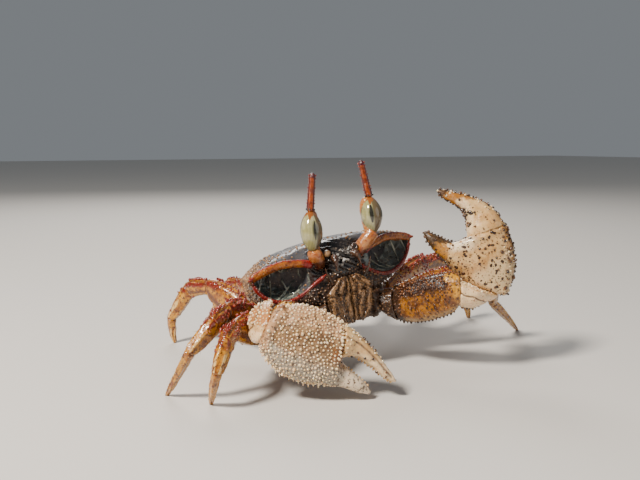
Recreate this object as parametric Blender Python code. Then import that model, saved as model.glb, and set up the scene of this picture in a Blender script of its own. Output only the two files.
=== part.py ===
# Horned ghost crab, still model at life size, left claw raised, standing on eight feet.
# Lengths below are millimetres and are turned into metres when a mesh is made.
# The crab faces -Y, its left side is +X, up is +Z, and the floor is z = 0.

import math
import random

import bpy
import bmesh
from mathutils import Matrix, Vector
from mathutils.bvhtree import BVHTree

MM = 0.001
GAP = 0.3
MERGE = 0.0000005

# Beads and spines: sides of each, how far its root is sunk, its blunt top, and the seeded draw.
BEAD_SIDES = 4
BEAD_SINK = 0.6
BEAD_TOP = 0.45
DRAW = random.Random(11)

# Radius and height of each kind of bead, and how far apart the back's granules lie.
BACK_BEAD = (0.5, 0.4)
BACK_STEP = 7.0
HORN_BEAD = (0.34, 0.3)
CREST_BEAD = (0.5, 0.6)
PALM_BEAD = (0.65, 0.45)
MARGIN_RADIUS = 0.6
FINGER_BEAD = (0.5, 0.6)
TOOTH = (0.5, 0.5)
ARM_BEAD = (0.5, 0.4)
ARM_SPINE = (0.5, 0.8)
WRIST_BEAD = (0.5, 0.45)

# Body frame: origin between the eyes, x to the crab's left, y to its back, z up.
CARAPACE_WIDTH = 60.0
HALF_WIDTH = CARAPACE_WIDTH / 2
BODY_LIFT = 37.0
BODY_ROLL = math.radians(10)
BODY_PITCH = math.radians(5)

# Middle of the stance, so that the model's box is centred on the origin.
CENTRE_X = 14.9
CENTRE_Y = 24.5

# Underside of the shell, where the breastplate starts, and the breastplate's depth.
SHELL_FLOOR = -13.6
BREAST_TOP = SHELL_FLOOR - GAP
BREAST_DEPTH = 8.6

# Leg roots round the breastplate on the crab's left, claw arm first: place and heading.
ROOTS = [(12.3, 6.8), (17.0, 13.3), (18.8, 21.0), (17.8, 28.8), (13.8, 35.3)]
ROOT_HEADINGS = [-50, -22, -4, 18, 50]
ROOT_LEVEL = -18.8

# Joint places of each walking leg above the floor: knee, wrist, ankle, foot.
LEG_JOINTS = {
    "leg_1_left": [(49, 4, 26), (60, 5, 24), (67.5, 11.5, 14), (86.6, 19.7, 0)],
    "leg_2_left": [(52.8, 33.7, 26.3), (66, 38, 26), (80, 44, 9), (84, 46, 0)],
    "leg_3_left": [(45, 50, 30), (56, 58, 28), (68, 67, 12), (71, 69, 0)],
    "leg_4_left": [(29, 57, 28), (33, 64, 26), (39, 74, 13), (41, 76, 0)],
    "leg_1_right": [(-39.9, -4.5, 19.2), (-45.6, -13.0, 17.7), (-49.3, -15.5, 10.8), (-48.4, -8, 0)],
    "leg_2_right": [(-40.6, 0.7, 22.9), (-46.5, -5.5, 21.3), (-53.5, -6.1, 14.9), (-56.8, 5.4, 0)],
    "leg_3_right": [(-28, 48, 22), (-32, 57, 20), (-37, 63, 9), (-36, 63, 0)],
    "leg_4_right": [(-12, 60, 20), (-14, 67, 18), (-17, 73, 8), (-16, 73, 0)],
}
LEG_GIRTH = {1: 0.95, 2: 1.0, 3: 0.95, 4: 0.75}

# Claw arms above the floor: elbow, wrist, the way the palm points, the way its face looks,
# and how far the carpus between elbow and wrist swells.
ARM = {
    "right": {
        "elbow": (-25.5, -4.6, 20.2),
        "wrist": (-34.7, -12.1, 18.8),
        "along": (31.7, -14.5, -16.1),
        "face": (-0.47, -0.86, 0.25),
        "bulge": 6.8,
    },
    "left": {
        "elbow": (29.1, -17.6, 26.5),
        "wrist": (39.6, -16.7, 23.8),
        "along": (-13.4, 9.7, 21.0),
        "face": (-0.47, -0.86, 0.05),
        "bulge": 6.0,
    },
}


def clear_scene():
    for obj in list(bpy.data.objects):
        bpy.data.objects.remove(obj, do_unlink=True)


def material(name, colour, roughness, metallic=0.0):
    made = bpy.data.materials.get(name)
    if made is None:
        made = bpy.data.materials.new(name)
        made.use_nodes = True
        shader = made.node_tree.nodes["Principled BSDF"]
        shader.inputs["Base Color"].default_value = (*colour, 1)
        shader.inputs["Roughness"].default_value = roughness
        shader.inputs["Metallic"].default_value = metallic
    return made


def finish_of(name):
    finishes = {
        "shell": ((0.10, 0.13, 0.15), 0.35),
        "underside": ((0.30, 0.22, 0.14), 0.6),
        "mouth": ((0.33, 0.24, 0.15), 0.6),
        "leg": ((0.62, 0.36, 0.10), 0.4),
        "arm": ((0.72, 0.45, 0.16), 0.45),
        "claw": ((0.84, 0.76, 0.64), 0.45),
        "stalk": ((0.85, 0.35, 0.12), 0.35),
        "eye": ((0.66, 0.68, 0.56), 0.12),
        "horn": ((0.70, 0.18, 0.05), 0.35),
    }
    colour, roughness = finishes[name]
    return material(name, colour, roughness)


def body_matrix():
    roll = Matrix.Rotation(-BODY_ROLL, 4, "Y")
    pitch = Matrix.Rotation(-BODY_PITCH, 4, "X")
    return Matrix.Translation((0, 0, BODY_LIFT)) @ roll @ pitch


BODY = body_matrix()


def on_floor(point):
    return BODY @ Vector(point)


def make_object(name, verts, faces, finish):
    """A closed mesh from points in the stance's millimetres."""
    shift = Vector((CENTRE_X, CENTRE_Y, 0))
    mesh = bpy.data.meshes.new(name)
    mesh.from_pydata([(Vector(v) - shift) * MM for v in verts], [], faces)
    tidy = bmesh.new()
    tidy.from_mesh(mesh)
    bmesh.ops.remove_doubles(tidy, verts=tidy.verts, dist=MERGE)
    bmesh.ops.dissolve_degenerate(tidy, edges=tidy.edges, dist=MERGE)
    bmesh.ops.triangulate(tidy, faces=tidy.faces)
    bmesh.ops.recalc_face_normals(tidy, faces=tidy.faces)
    tidy.to_mesh(mesh)
    tidy.free()
    mesh.shade_smooth()
    mesh.set_sharp_from_angle(angle=math.radians(50))
    obj = bpy.data.objects.new(name, mesh)
    bpy.context.scene.collection.objects.link(obj)
    obj.data.materials.append(finish_of(finish))
    return obj


def skin_rings(rings):
    """Faces between rings of equal count, with both ends closed."""
    count = len(rings[0])
    verts = [point for ring in rings for point in ring]
    faces = []
    for row in range(len(rings) - 1):
        for i in range(count):
            j = (i + 1) % count
            a, b = row * count, (row + 1) * count
            faces.append((a + i, a + j, b + j, b + i))
    last = (len(rings) - 1) * count
    faces.append(tuple(reversed(range(count))))
    faces.append(tuple(last + i for i in range(count)))
    return verts, faces


def oval(centre, side, up, half_side, half_up, count, squareness=2.0):
    """A ring round a centre; squareness above 2 fills out its corners."""
    ring = []
    for i in range(count):
        angle = 2 * math.pi * i / count
        c, s = math.cos(angle), math.sin(angle)
        a = math.copysign(abs(c) ** (2 / squareness), c)
        b = math.copysign(abs(s) ** (2 / squareness), s)
        ring.append(Vector(centre) + side * (half_side * a) + up * (half_up * b))
    return ring


def limb_rings(start, end, start_normal, end_normal, side, profile, count=8):
    """Rings of a limb piece: profile rows are place along, height, thickness, lift."""
    start, end = Vector(start), Vector(end)
    axis = (end - start).normalized()
    length = (end - start).length
    rings = []
    for t, height, thick, lift in profile:
        normal = axis
        if t <= 0:
            normal = start_normal
        elif t >= 1:
            normal = end_normal
        across = (side - normal * side.dot(normal)).normalized()
        up = across.cross(normal).normalized()
        centre = start + axis * (length * t) + up * lift
        rings.append(oval(centre, across, up, thick / 2, height / 2, count, 2.3))
    return rings


def mitre(before, joint, after):
    """The plane that halves the bend at a joint."""
    first = (Vector(joint) - Vector(before)).normalized()
    second = (Vector(after) - Vector(joint)).normalized()
    return (first + second).normalized()


def keep_largest(obj):
    """Only the largest closed surface of a fused node stays."""
    mesh = bmesh.new()
    mesh.from_mesh(obj.data)
    mesh.verts.ensure_lookup_table()
    seen = set()
    groups = []
    for vert in mesh.verts:
        if vert.index in seen:
            continue
        stack, group = [vert], []
        seen.add(vert.index)
        while stack:
            here = stack.pop()
            group.append(here)
            for edge in here.link_edges:
                other = edge.other_vert(here)
                if other.index not in seen:
                    seen.add(other.index)
                    stack.append(other)
        groups.append(group)
    groups.sort(key=len)
    for group in groups[:-1]:
        bmesh.ops.delete(mesh, geom=group, context="VERTS")
    bmesh.ops.remove_doubles(mesh, verts=mesh.verts, dist=MERGE)
    bmesh.ops.dissolve_degenerate(mesh, edges=mesh.edges, dist=MERGE)
    bmesh.ops.triangulate(mesh, faces=mesh.faces)
    mesh.to_mesh(obj.data)
    mesh.free()


def combine(core, extras, operation="UNION"):
    """Fuse pieces to a core, or cut them from it, and remove the pieces."""
    if not extras:
        return core
    group = bpy.data.collections.new(core.name + "_pieces")
    for extra in extras:
        group.objects.link(extra)
    cut = core.modifiers.new("combine", "BOOLEAN")
    cut.operation = operation
    cut.operand_type = "COLLECTION"
    cut.collection = group
    cut.solver = "EXACT"
    bpy.context.view_layer.update()
    seen = core.evaluated_get(bpy.context.evaluated_depsgraph_get())
    mesh = bpy.data.meshes.new_from_object(seen)
    core.modifiers.clear()
    core.data = mesh
    for extra in extras:
        bpy.data.objects.remove(extra, do_unlink=True)
    bpy.data.collections.remove(group)
    keep_largest(core)
    core.data.shade_smooth()
    core.data.set_sharp_from_angle(angle=math.radians(50))
    return core


def smooth_line(points, steps):
    """A smooth run of points through a few named ones."""
    points = [Vector(p) for p in points]
    padded = [2 * points[0] - points[1]] + points + [2 * points[-1] - points[-2]]
    line = []
    for i in range(1, len(padded) - 2):
        a, b, c, d = padded[i - 1], padded[i], padded[i + 1], padded[i + 2]
        for k in range(steps):
            t = k / steps
            bend = (2 * a - 5 * b + 4 * c - d) * t * t + (3 * b - a - 3 * c + d) * t ** 3
            line.append(b + 0.5 * ((c - a) * t + bend))
    line.append(points[-1])
    return line


def lookup(table, value):
    """Straight-line reading of a short table of pairs."""
    if value <= table[0][0]:
        return table[0][1]
    for (x0, y0), (x1, y1) in zip(table, table[1:]):
        if value <= x1:
            return y0 + (y1 - y0) * (value - x0) / (x1 - x0)
    return table[-1][1]


# Shell outline on the left half from the brow to the back edge, and the brow's plan.
SHELL_EDGE = [
    (0, 3.9, 1.3), (4.6, 4.3, 1.0), (6.2, 7.1, 0.8), (11, 7.5, 1.2), (14, 8.2, 1.4),
    (19.1, 8.8, 2.2), (25, 9.6, 1.3), (HALF_WIDTH, 10.4, -0.3), (28.6, 16.5, -1.2),
    (26.8, 24, -2.4), (24.2, 32, -4), (20.2, 39.5, -6), (14.5, 45, -7.6), (7, 47.4, -8.6), (0, 48, -9),
]
SOCKET_SILL = [
    (0, -4.4), (6.6, -4.4), (9.4, -6.5), (14, -9.2), (18.5, -10.2), (22.5, -9.4),
    (26, -7.4), (28.6, -3.8), (30.1, -2.0),
]
SHELL_RIDGE = [(8, 4.6), (12, 5.4), (20, 5.2), (30, 3.6), (38, 1.0), (46, -3.8)]
FLOOR_EDGE = [
    (0, 5.6), (4, 5.7), (8, 6.2), (12, 8.2), (15.5, 11), (17.6, 14.5), (18.6, 18), (18.9, 22),
    (18.4, 27), (16.8, 32), (13.8, 36.5), (9.5, 39.5), (4, 41), (0, 41.2),
]
DOME_STEPS = [1.0, 0.8, 0.58, 0.36, 0.18, 0.07]


def shell_rows():
    """Rows of the shell's left half, from the ridge over the edge to the underside."""
    edge = smooth_line(SHELL_EDGE, 2)
    floor = smooth_line([(x, y, SHELL_FLOOR) for x, y in FLOOR_EDGE], 4)
    rows = []
    for step in DOME_STEPS:
        row = []
        for p in edge:
            ridge_y = 10 + (p.y - 3.9) / 46.1 * 34
            ridge_z = lookup(SHELL_RIDGE, ridge_y)
            rise = 1 - (1 - step) ** 2.6
            y = p.y + (ridge_y - p.y) * step
            row.append(Vector((p.x * (1 - step), y, p.z + (ridge_z - p.z) * rise)))
        rows.append(row)
    rows.append(edge)
    sills = []
    for p in edge:
        if p.y < 11:
            sills.append(Vector((p.x, p.y + 0.2, lookup(SOCKET_SILL, p.x))))
        else:
            fall = 2.0 + 3.5 * math.sin(math.pi * min(1.0, (p.y - 11) / 34))
            sills.append(Vector((p.x * 0.99, p.y - 0.3, p.z - fall)))
    rows.append(sills)
    last = len(edge) - 1
    feet = [floor[round(i * (len(floor) - 1) / last)] for i in range(last + 1)]
    middle = []
    for sill, foot in zip(sills, feet):
        half = sill.lerp(foot, 0.5)
        out = Vector((half.x, (half.y - 24) * 0.6, 0)).normalized()
        middle.append(half + out * (0.3 if half.x < 9 and half.y < 12 else 1.6))
    rows.append(middle)
    rows.append(feet)
    rows.append([Vector((0, foot.y, foot.z)) for foot in feet])
    return rows


def shell_core():
    verts, faces = [], []
    for side in (1, -1):
        rows = shell_rows()
        base = len(verts)
        width = len(rows[0])
        verts += [on_floor((p.x * side, p.y, p.z)) for row in rows for p in row]
        for r in range(len(rows) - 1):
            for i in range(width - 1):
                a = base + r * width + i
                b = a + width
                faces.append((a, a + 1, b + 1, b))
    return make_object("carapace", verts, faces, "shell")


def socket_outline(inset):
    """The eye socket's mouth on the left side, from its inner end round by the sill."""
    sill = [(x, lookup(SOCKET_SILL, x) + 0.5) for x in (11.4, 14.5, 18.5, 22.5, 26, 28.2)]
    brow = [(26.5, 0.2), (23, 1.0), (19, 1.5), (15, 0.8), (11.4, 0.5)]
    middle = Vector((19.5, 0, -3.6))
    ring = []
    for x, z in sill + [(29.0, -0.6)] + brow:
        plan = lookup([(6, 7.1), (11, 7.5), (19, 8.8), (30, 10.4)], x)
        point = Vector((x, plan, z))
        centre = Vector((middle.x, plan, middle.z))
        ring.append(point.lerp(centre, inset))
    return ring


def socket_cutter(side):
    """A bowl that hollows one eye socket."""
    rings = []
    for depth, inset in ((-3.0, 0.04), (0.5, 0.04), (3.4, 0.14), (5.8, 0.45)):
        ring = [p + Vector((0, depth, 0)) for p in socket_outline(inset)]
        rings.append([on_floor((p.x * side, p.y, p.z)) for p in ring])
    verts, faces = skin_rings(rings)
    return make_object("cutter", verts, faces, "shell")


def ridge_tube(points, radius, side, finish):
    """A rounded ridge along points of the left half, laid on either side."""
    rings = []
    for i, p in enumerate(points):
        before = points[max(0, i - 1)]
        after = points[min(len(points) - 1, i + 1)]
        along = (after - before).normalized()
        across = along.cross(Vector((0, 1, 0))).normalized()
        up = across.cross(along)
        ring = oval(p, across, up, radius, radius, 6)
        rings.append([on_floor((q.x * side, q.y, q.z)) for q in ring])
    verts, faces = skin_rings(rings)
    return make_object("ridge", verts, faces, finish)


def socket_sill_line():
    outer = [(28.9, 10.4, -2.4), (27.6, 10.3, -5.2), (25.4, 10.1, -7.8), (22.5, 9.6, -9.4)]
    inner = [(18.5, 9.0, -10.2), (14, 8.2, -9.2), (9.6, 7.0, -6.7), (6.8, 5.0, -4.7)]
    return [Vector(p) for p in outer + inner]


def cone(point, way, radius, height):
    """A bead or spine: a short blunt cone with its root sunk in."""
    side = way.orthogonal().normalized()
    up = way.cross(side)
    low = oval(point - way * BEAD_SINK, side, up, radius, radius, BEAD_SIDES)
    high = oval(point + way * height, side, up, radius * BEAD_TOP, radius * BEAD_TOP, BEAD_SIDES)
    verts, faces = skin_rings([low, high])
    return make_object("bead", verts, faces, "shell")


def surface_of(obj):
    """A solid's surface in the stance's millimetres, for finding places on it."""
    shift = Vector((CENTRE_X, CENTRE_Y, 0))
    verts = [v.co / MM + shift for v in obj.data.vertices]
    faces = [tuple(p.vertices) for p in obj.data.polygons]
    return BVHTree.FromPolygons(verts, faces)


def bead_surface(obj, spots, radius, height, lean=0.5):
    """Beads where rays from outside meet a surface: each spot is a place near it and the way out."""
    surface = surface_of(obj)
    beads = []
    for place, out in spots:
        out = out.normalized()
        hit, normal, _, _ = surface.ray_cast(place + out * 12, -out, 24)
        if hit is None or normal.dot(out) < 0.35:
            continue
        way = (normal + out * lean).normalized()
        size = 1 + 0.18 * (DRAW.random() - 0.5)
        beads.append(cone(hit, way, radius * size, height * size))
    return beads


def row_spots(start, end, out, count):
    """Places along a straight run, each with the same way out."""
    return [(start.lerp(end, (i + 0.5) / count), out) for i in range(count)]


def patch_spots(corner, across, along, out, spacing, wander=0.25):
    """Staggered places over a patch that spans two edge vectors from a corner."""
    rows = max(1, round(along.length / (spacing * 0.87)))
    columns = max(1, round(across.length / spacing))
    spots = []
    for r in range(rows):
        for c in range(columns):
            u = (c + 0.25 + 0.5 * (r % 2) + wander * (DRAW.random() - 0.5)) / columns
            v = (r + 0.5 + wander * (DRAW.random() - 0.5)) / rows
            spots.append((corner + across * u + along * v, out))
    return spots


def body_way(x, y, z):
    """A direction of the body frame as it points above the floor."""
    return on_floor((x, y, z)) - on_floor((0, 0, 0))


def rim_beads(core, side):
    """Beads along the brow over the socket, the sill under it, and teeth down the shell's side."""
    brow = smooth_line([(x, y, z) for x, y, z in SHELL_EDGE if 11 <= x and y < 11], 2)[:-1]
    sill = smooth_line(socket_sill_line(), 2)[1:-1]
    flank = smooth_line([(x, y, z) for x, y, z in SHELL_EDGE if 10 < y < 33], 2)
    rows = [(brow, (0.0, -0.75, 0.65), 0.5, 0.55), (sill, (0.0, -1.0, -0.25), 0.45, 0.5),
            (flank, (1.0, -0.2, 0.35), 0.55, 0.7)]
    beads = []
    for line, way, radius, height in rows:
        out = body_way(way[0] * side, way[1], way[2])
        spots = [(on_floor((p.x * side, p.y, p.z)), out) for p in line]
        beads += bead_surface(core, spots, radius, height)
    return beads


def back_beads(core):
    """Granules over the shell's back, with its smooth middle left out."""
    corner = Vector((-24, 11, 8))
    spots = patch_spots(corner, Vector((48, 0, 0)), Vector((0, 33, 0)), Vector((0, 0, 1)), BACK_STEP)
    kept = [(on_floor(p), body_way(0, 0, 1)) for p, _ in spots if abs(p.x) > 7 or p.y < 15]
    return bead_surface(core, kept, *BACK_BEAD, 0)


def carapace():
    core = shell_core()
    combine(core, [socket_cutter(1), socket_cutter(-1)], "DIFFERENCE")
    combine(core, [ridge_tube(socket_sill_line(), 0.75, side, "shell") for side in (1, -1)])
    combine(core, rim_beads(core, 1) + rim_beads(core, -1) + back_beads(core))
    return core


BREAST_OUTLINE = [(0, 6.0), (7.2, 6.0), (9.4, 4.6), (15.2, 9.2), (18.7, 17.2), (19.0, 24.8),
                  (16.4, 32.6), (11.1, 38.2), (6, 40), (0, 40)]


def plate_ring(outline, level, inset, centre_y):
    ring = []
    half = [(x, y) for x, y in outline]
    whole = half + [(-x, y) for x, y in reversed(half[1:-1])]
    for x, y in whole:
        ring.append((x * (1 - inset), centre_y + (y - centre_y) * (1 - inset), level))
    return ring


def sternum():
    rings = []
    for drop, inset in ((0, 0.0), (0.85, 0.0), (1.0, 0.18)):
        rings.append(plate_ring(BREAST_OUTLINE, BREAST_TOP - BREAST_DEPTH * drop, inset, 22))
    verts, faces = skin_rings([[on_floor(p) for p in ring] for ring in rings])
    return make_object("sternum", verts, faces, "underside")


ABDOMEN_OUTLINE = [(0, 12.5), (1.6, 13), (2.6, 18), (3.6, 21), (6.2, 27), (6.6, 33), (5.0, 36), (0, 36.6)]


def abdomen():
    under = BREAST_TOP - BREAST_DEPTH - GAP
    rings = [
        plate_ring(ABDOMEN_OUTLINE, under, 0.0, 25),
        plate_ring(ABDOMEN_OUTLINE, under - 1.0, 0.0, 25),
        plate_ring(ABDOMEN_OUTLINE, under - 1.7, 0.2, 25),
    ]
    verts, faces = skin_rings([[on_floor(p) for p in ring] for ring in rings])
    return make_object("abdomen", verts, faces, "underside")


def mouth_wall(level):
    return lookup([(-22.5, 6.0), (-15.0, 5.5), (-14.7, 5.4), (-9.0, 4.2), (-4.4, 3.7)], level)


# Mouth plate, top to bottom: level, half width and thickness; its inner edge is straight.
MOUTH_ROWS = [(-6.4, 1.5, 0.8), (-7.4, 2.2, 1.5), (-10.5, 3.8, 2.0), (-11.6, 3.6, 1.5), (-12.6, 3.8, 2.1),
              (-17.5, 3.3, 2.1), (-20.2, 2.4, 1.6), (-21.2, 1.3, 0.9)]
MOUTH_SLIT = 0.3
PLATE_CLEAR = 0.45


def maxilliped(side, label):
    """One outer mouth plate: long lower plate, shorter upper plate."""
    rings = []
    for level, half, thick in MOUTH_ROWS:
        back = mouth_wall(level) - PLATE_CLEAR
        centre = Vector((MOUTH_SLIT + half, back - thick / 2, level))
        ring = oval(centre, Vector((1, 0, 0)), Vector((0, 1, 0)), half, thick / 2, 10, 3.0)
        rings.append([on_floor((q.x * side, q.y, q.z)) for q in ring])
    verts, faces = skin_rings(rings)
    return make_object("maxilliped_" + label, verts, faces, "mouth")


# Eyestalks: seat on the brow wall, neck, and the eye and horn places above the floor.
STALK_SEAT = (8.7, 6.85, -0.9)
STALK_BEND = (8.7, 5.4, -0.4)
STALK_NECK = (8.7, 4.6, 1.0)
STALK_RADII = [1.9, 2.0, 2.25, 2.2, 2.0]
EYES = {
    "right": {"foot": (-9.7, 5.2, 38.4), "crown": (-9.8, 7.0, 50.9), "tip": (-8.6, 7.6, 62.6)},
    "left": {"foot": (11.3, 3.6, 43.5), "crown": (10.7, 5.6, 54.7), "tip": (8.8, 8.0, 66.2)},
}
EYE_RADIUS = 3.5
HORN_RADIUS = 1.15


def chain_rings(points, normals, radii, count, guide=(1, 0, 0)):
    """Round rings on a bent path; the guide keeps them from twisting."""
    rings = []
    for point, normal, radius in zip(points, normals, radii):
        normal = normal.normalized()
        side = Vector(guide)
        side = (side - normal * side.dot(normal)).normalized()
        up = side.cross(normal)
        rings.append(oval(point, side, up, radius, radius, count))
    return rings


def eye_axis(label):
    place = EYES[label]
    foot, crown = Vector(place["foot"]), Vector(place["crown"])
    return foot, crown, (crown - foot).normalized()


def eyestalk(side, label):
    foot, crown, axis = eye_axis(label)
    seat = on_floor((STALK_SEAT[0] * side, STALK_SEAT[1], STALK_SEAT[2]))
    bend = on_floor((STALK_BEND[0] * side, STALK_BEND[1], STALK_BEND[2]))
    neck = on_floor((STALK_NECK[0] * side, STALK_NECK[1], STALK_NECK[2]))
    top = foot - axis * (GAP / 2)
    out = on_floor((0, -1, 0)) - on_floor((0, 0, 0))
    rise = (top - neck).normalized()
    middle = neck.lerp(top, 0.5)
    points = [seat, bend, neck, middle, top]
    normals = [out, out + rise, rise, rise, axis]
    verts, faces = skin_rings(chain_rings(points, normals, STALK_RADII, 10))
    return make_object("eyestalk_" + label, verts, faces, "stalk")


def eye(label):
    """The cornea: a long egg round the stalk's end."""
    foot, crown, axis = eye_axis(label)
    length = (crown - foot).length
    points, radii = [], []
    for step in (0.0, 0.08, 0.2, 0.36, 0.52, 0.68, 0.82, 0.93, 1.0):
        points.append(foot + axis * (GAP / 2 + (length - GAP) * step))
        radii.append(EYE_RADIUS * math.sin(math.pi * (0.06 + 0.88 * step)) ** 0.62)
    verts, faces = skin_rings(chain_rings(points, [axis] * len(points), radii, 12))
    return make_object("eye_" + label, verts, faces, "eye")


def horn(label):
    """The spike above the eye, blunt at its tip, with beads down both edges."""
    foot, crown, axis = eye_axis(label)
    tip = Vector(EYES[label]["tip"])
    lean = (tip - crown).normalized()
    start = crown + axis * (GAP / 2)
    points = [start, start + axis * 0.8]
    points += [start.lerp(tip, t) for t in (0.3, 0.55, 0.8, 0.95, 1.0)]
    normals = [axis, axis + lean] + [lean] * 5
    radii = [HORN_RADIUS * r for r in (1.25, 1.2, 1.05, 0.95, 0.95, 0.9, 0.55)]
    verts, faces = skin_rings(chain_rings(points, normals, radii, 8))
    spike = make_object("horn_" + label, verts, faces, "horn")
    beads = []
    for out in (Vector((1, 0, 0.3)), Vector((-1, 0, 0.3))):
        spots = row_spots(start.lerp(tip, 0.25), start.lerp(tip, 0.92), out, 4)
        beads += bead_surface(spike, spots, *HORN_BEAD)
    combine(spike, beads)


def feeler(name, points, radii, side, finish):
    """A short jointed feeler through points of the body frame."""
    path = [on_floor((x * side, y, z)) for x, y, z in points]
    normals = []
    for i in range(len(path)):
        before = path[max(0, i - 1)]
        after = path[min(len(path) - 1, i + 1)]
        normals.append(after - before)
    verts, faces = skin_rings(chain_rings(path, normals, radii, 6, (0.2, 0.3, 1)))
    return make_object(name, verts, faces, finish)


def antennule(side, label):
    points = [(3.4, 3.5, 0.4), (3.5, 2.9, 0.3), (3.7, 2.0, 0.0), (4.0, 1.2, -0.8), (4.2, 1.0, -2.4),
              (4.3, 1.1, -4.0)]
    return feeler("antennule_" + label, points, [0.9, 1.15, 1.1, 0.8, 0.45, 0.3], side, "mouth")


def antenna(side, label):
    points = [(6.2, 3.3, -6.6), (6.4, 2.6, -6.4), (6.9, 1.9, -5.6), (7.4, 1.5, -4.4), (7.9, 1.2, -3.0),
              (8.2, 1.0, -1.8)]
    return feeler("antenna_" + label, points, [0.8, 0.8, 0.65, 0.5, 0.4, 0.28], side, "mouth")


def root_place(index, side):
    x, y = ROOTS[index]
    heading = math.radians(ROOT_HEADINGS[index])
    out = Vector((math.cos(heading) * side, math.sin(heading), 0))
    origin = on_floor((x * side, y, ROOT_LEVEL))
    normal = (on_floor((x * side + out.x, y + out.y, ROOT_LEVEL)) - origin).normalized()
    return origin, normal


def leg_side(root, knee, wrist):
    """The thin way of a leg: level, and square to its merus."""
    run = Vector(wrist) - Vector(root)
    flat = Vector((run.x, run.y, 0)).normalized()
    return Vector((flat.y, -flat.x, 0))


def build_limb(name, rings, finish):
    verts, faces = skin_rings(rings)
    return make_object(name, verts, faces, finish)


def merus_rings(root, root_normal, knee, knee_plane, side, girth, count=8):
    """Root, short ischium and broad merus in one run."""
    start = root + root_normal * GAP
    collar = root + root_normal * 4.2
    rings = []
    across = Vector((root_normal.y, -root_normal.x, 0)).normalized()
    up = across.cross(root_normal).normalized()
    flip = 1 if across.dot(side) > 0 else -1
    across = across * flip
    up = across.cross(root_normal).normalized()
    rings.append(oval(start, across, up, 2.9 * girth, 2.9 * girth, count, 2.3))
    rings.append(oval(collar, across, up, 2.4 * girth, 3.0 * girth, count, 2.3))
    profile = [(0.28, 8.2, 4.6, 0.3), (0.5, 10.2, 5.0, 0.3), (0.72, 10.0, 4.9, 0.2),
               (0.88, 8.4, 4.5, 0.2), (1.0, 6.4, 4.0, 0)]
    profile = [(t, h * girth, w * girth, lift) for t, h, w, lift in profile]
    end = knee - knee_plane * (GAP / 2)
    rings += limb_rings(collar, end, root_normal, knee_plane, side, profile, count)
    return rings


def leg(name, index, side):
    """One walking leg: merus with its root, carpus, propodus and dactyl."""
    girth = LEG_GIRTH[index]
    knee, wrist, ankle, foot = [Vector(p) for p in LEG_JOINTS[name]]
    root, root_normal = root_place(index, side)
    thin = leg_side(root, knee, wrist)
    knee_plane = mitre(root, knee, wrist)
    wrist_plane = mitre(knee, wrist, ankle)
    ankle_plane = mitre(wrist, ankle, foot)
    down = Vector((0, 0, -1))
    merus = build_limb(name + "_merus", merus_rings(root, root_normal, knee, knee_plane, thin, girth), "leg")
    crest = row_spots(root.lerp(knee, 0.4), root.lerp(knee, 0.93), Vector((0, 0, 1)), 6)
    combine(merus, bead_surface(merus, crest, *[size * girth for size in CREST_BEAD]))
    half = GAP / 2
    carpus = [(0, 5.6, 3.8, 0), (0.3, 5.6, 4.2, 0.3), (0.7, 6.4, 4.6, 0.3), (1, 6.0, 4.2, 0)]
    propodus = [(0, 5.6, 4.0, 0), (0.3, 5.4, 3.9, 0.2), (0.7, 4.6, 3.6, 0.1), (1, 3.6, 3.0, 0)]
    dactyl = [(0, 3.3, 2.8, 0), (0.3, 3.1, 2.6, 0.2), (0.7, 2.2, 1.9, 0.3), (1, 1.1, 1.1, 0)]
    pieces = [
        ("_carpus", knee, wrist, knee_plane, wrist_plane, carpus),
        ("_propodus", wrist, ankle, wrist_plane, ankle_plane, propodus),
        ("_dactyl", ankle, foot, ankle_plane, down, dactyl),
    ]
    for suffix, start, end, first, last, rows in pieces:
        a = start + first * half
        b = end - last * half if suffix != "_dactyl" else end
        rows = [(t, h * girth, w * girth, lift) for t, h, w, lift in rows]
        piece = build_limb(name + suffix, limb_rings(a, b, first, last, thin, rows), "leg")
        if suffix == "_carpus":
            spots = row_spots(knee.lerp(wrist, 0.15), knee.lerp(wrist, 0.9), Vector((0, 0, 1)), 3)
            combine(piece, bead_surface(piece, spots, *[size * girth for size in CREST_BEAD]))


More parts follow.
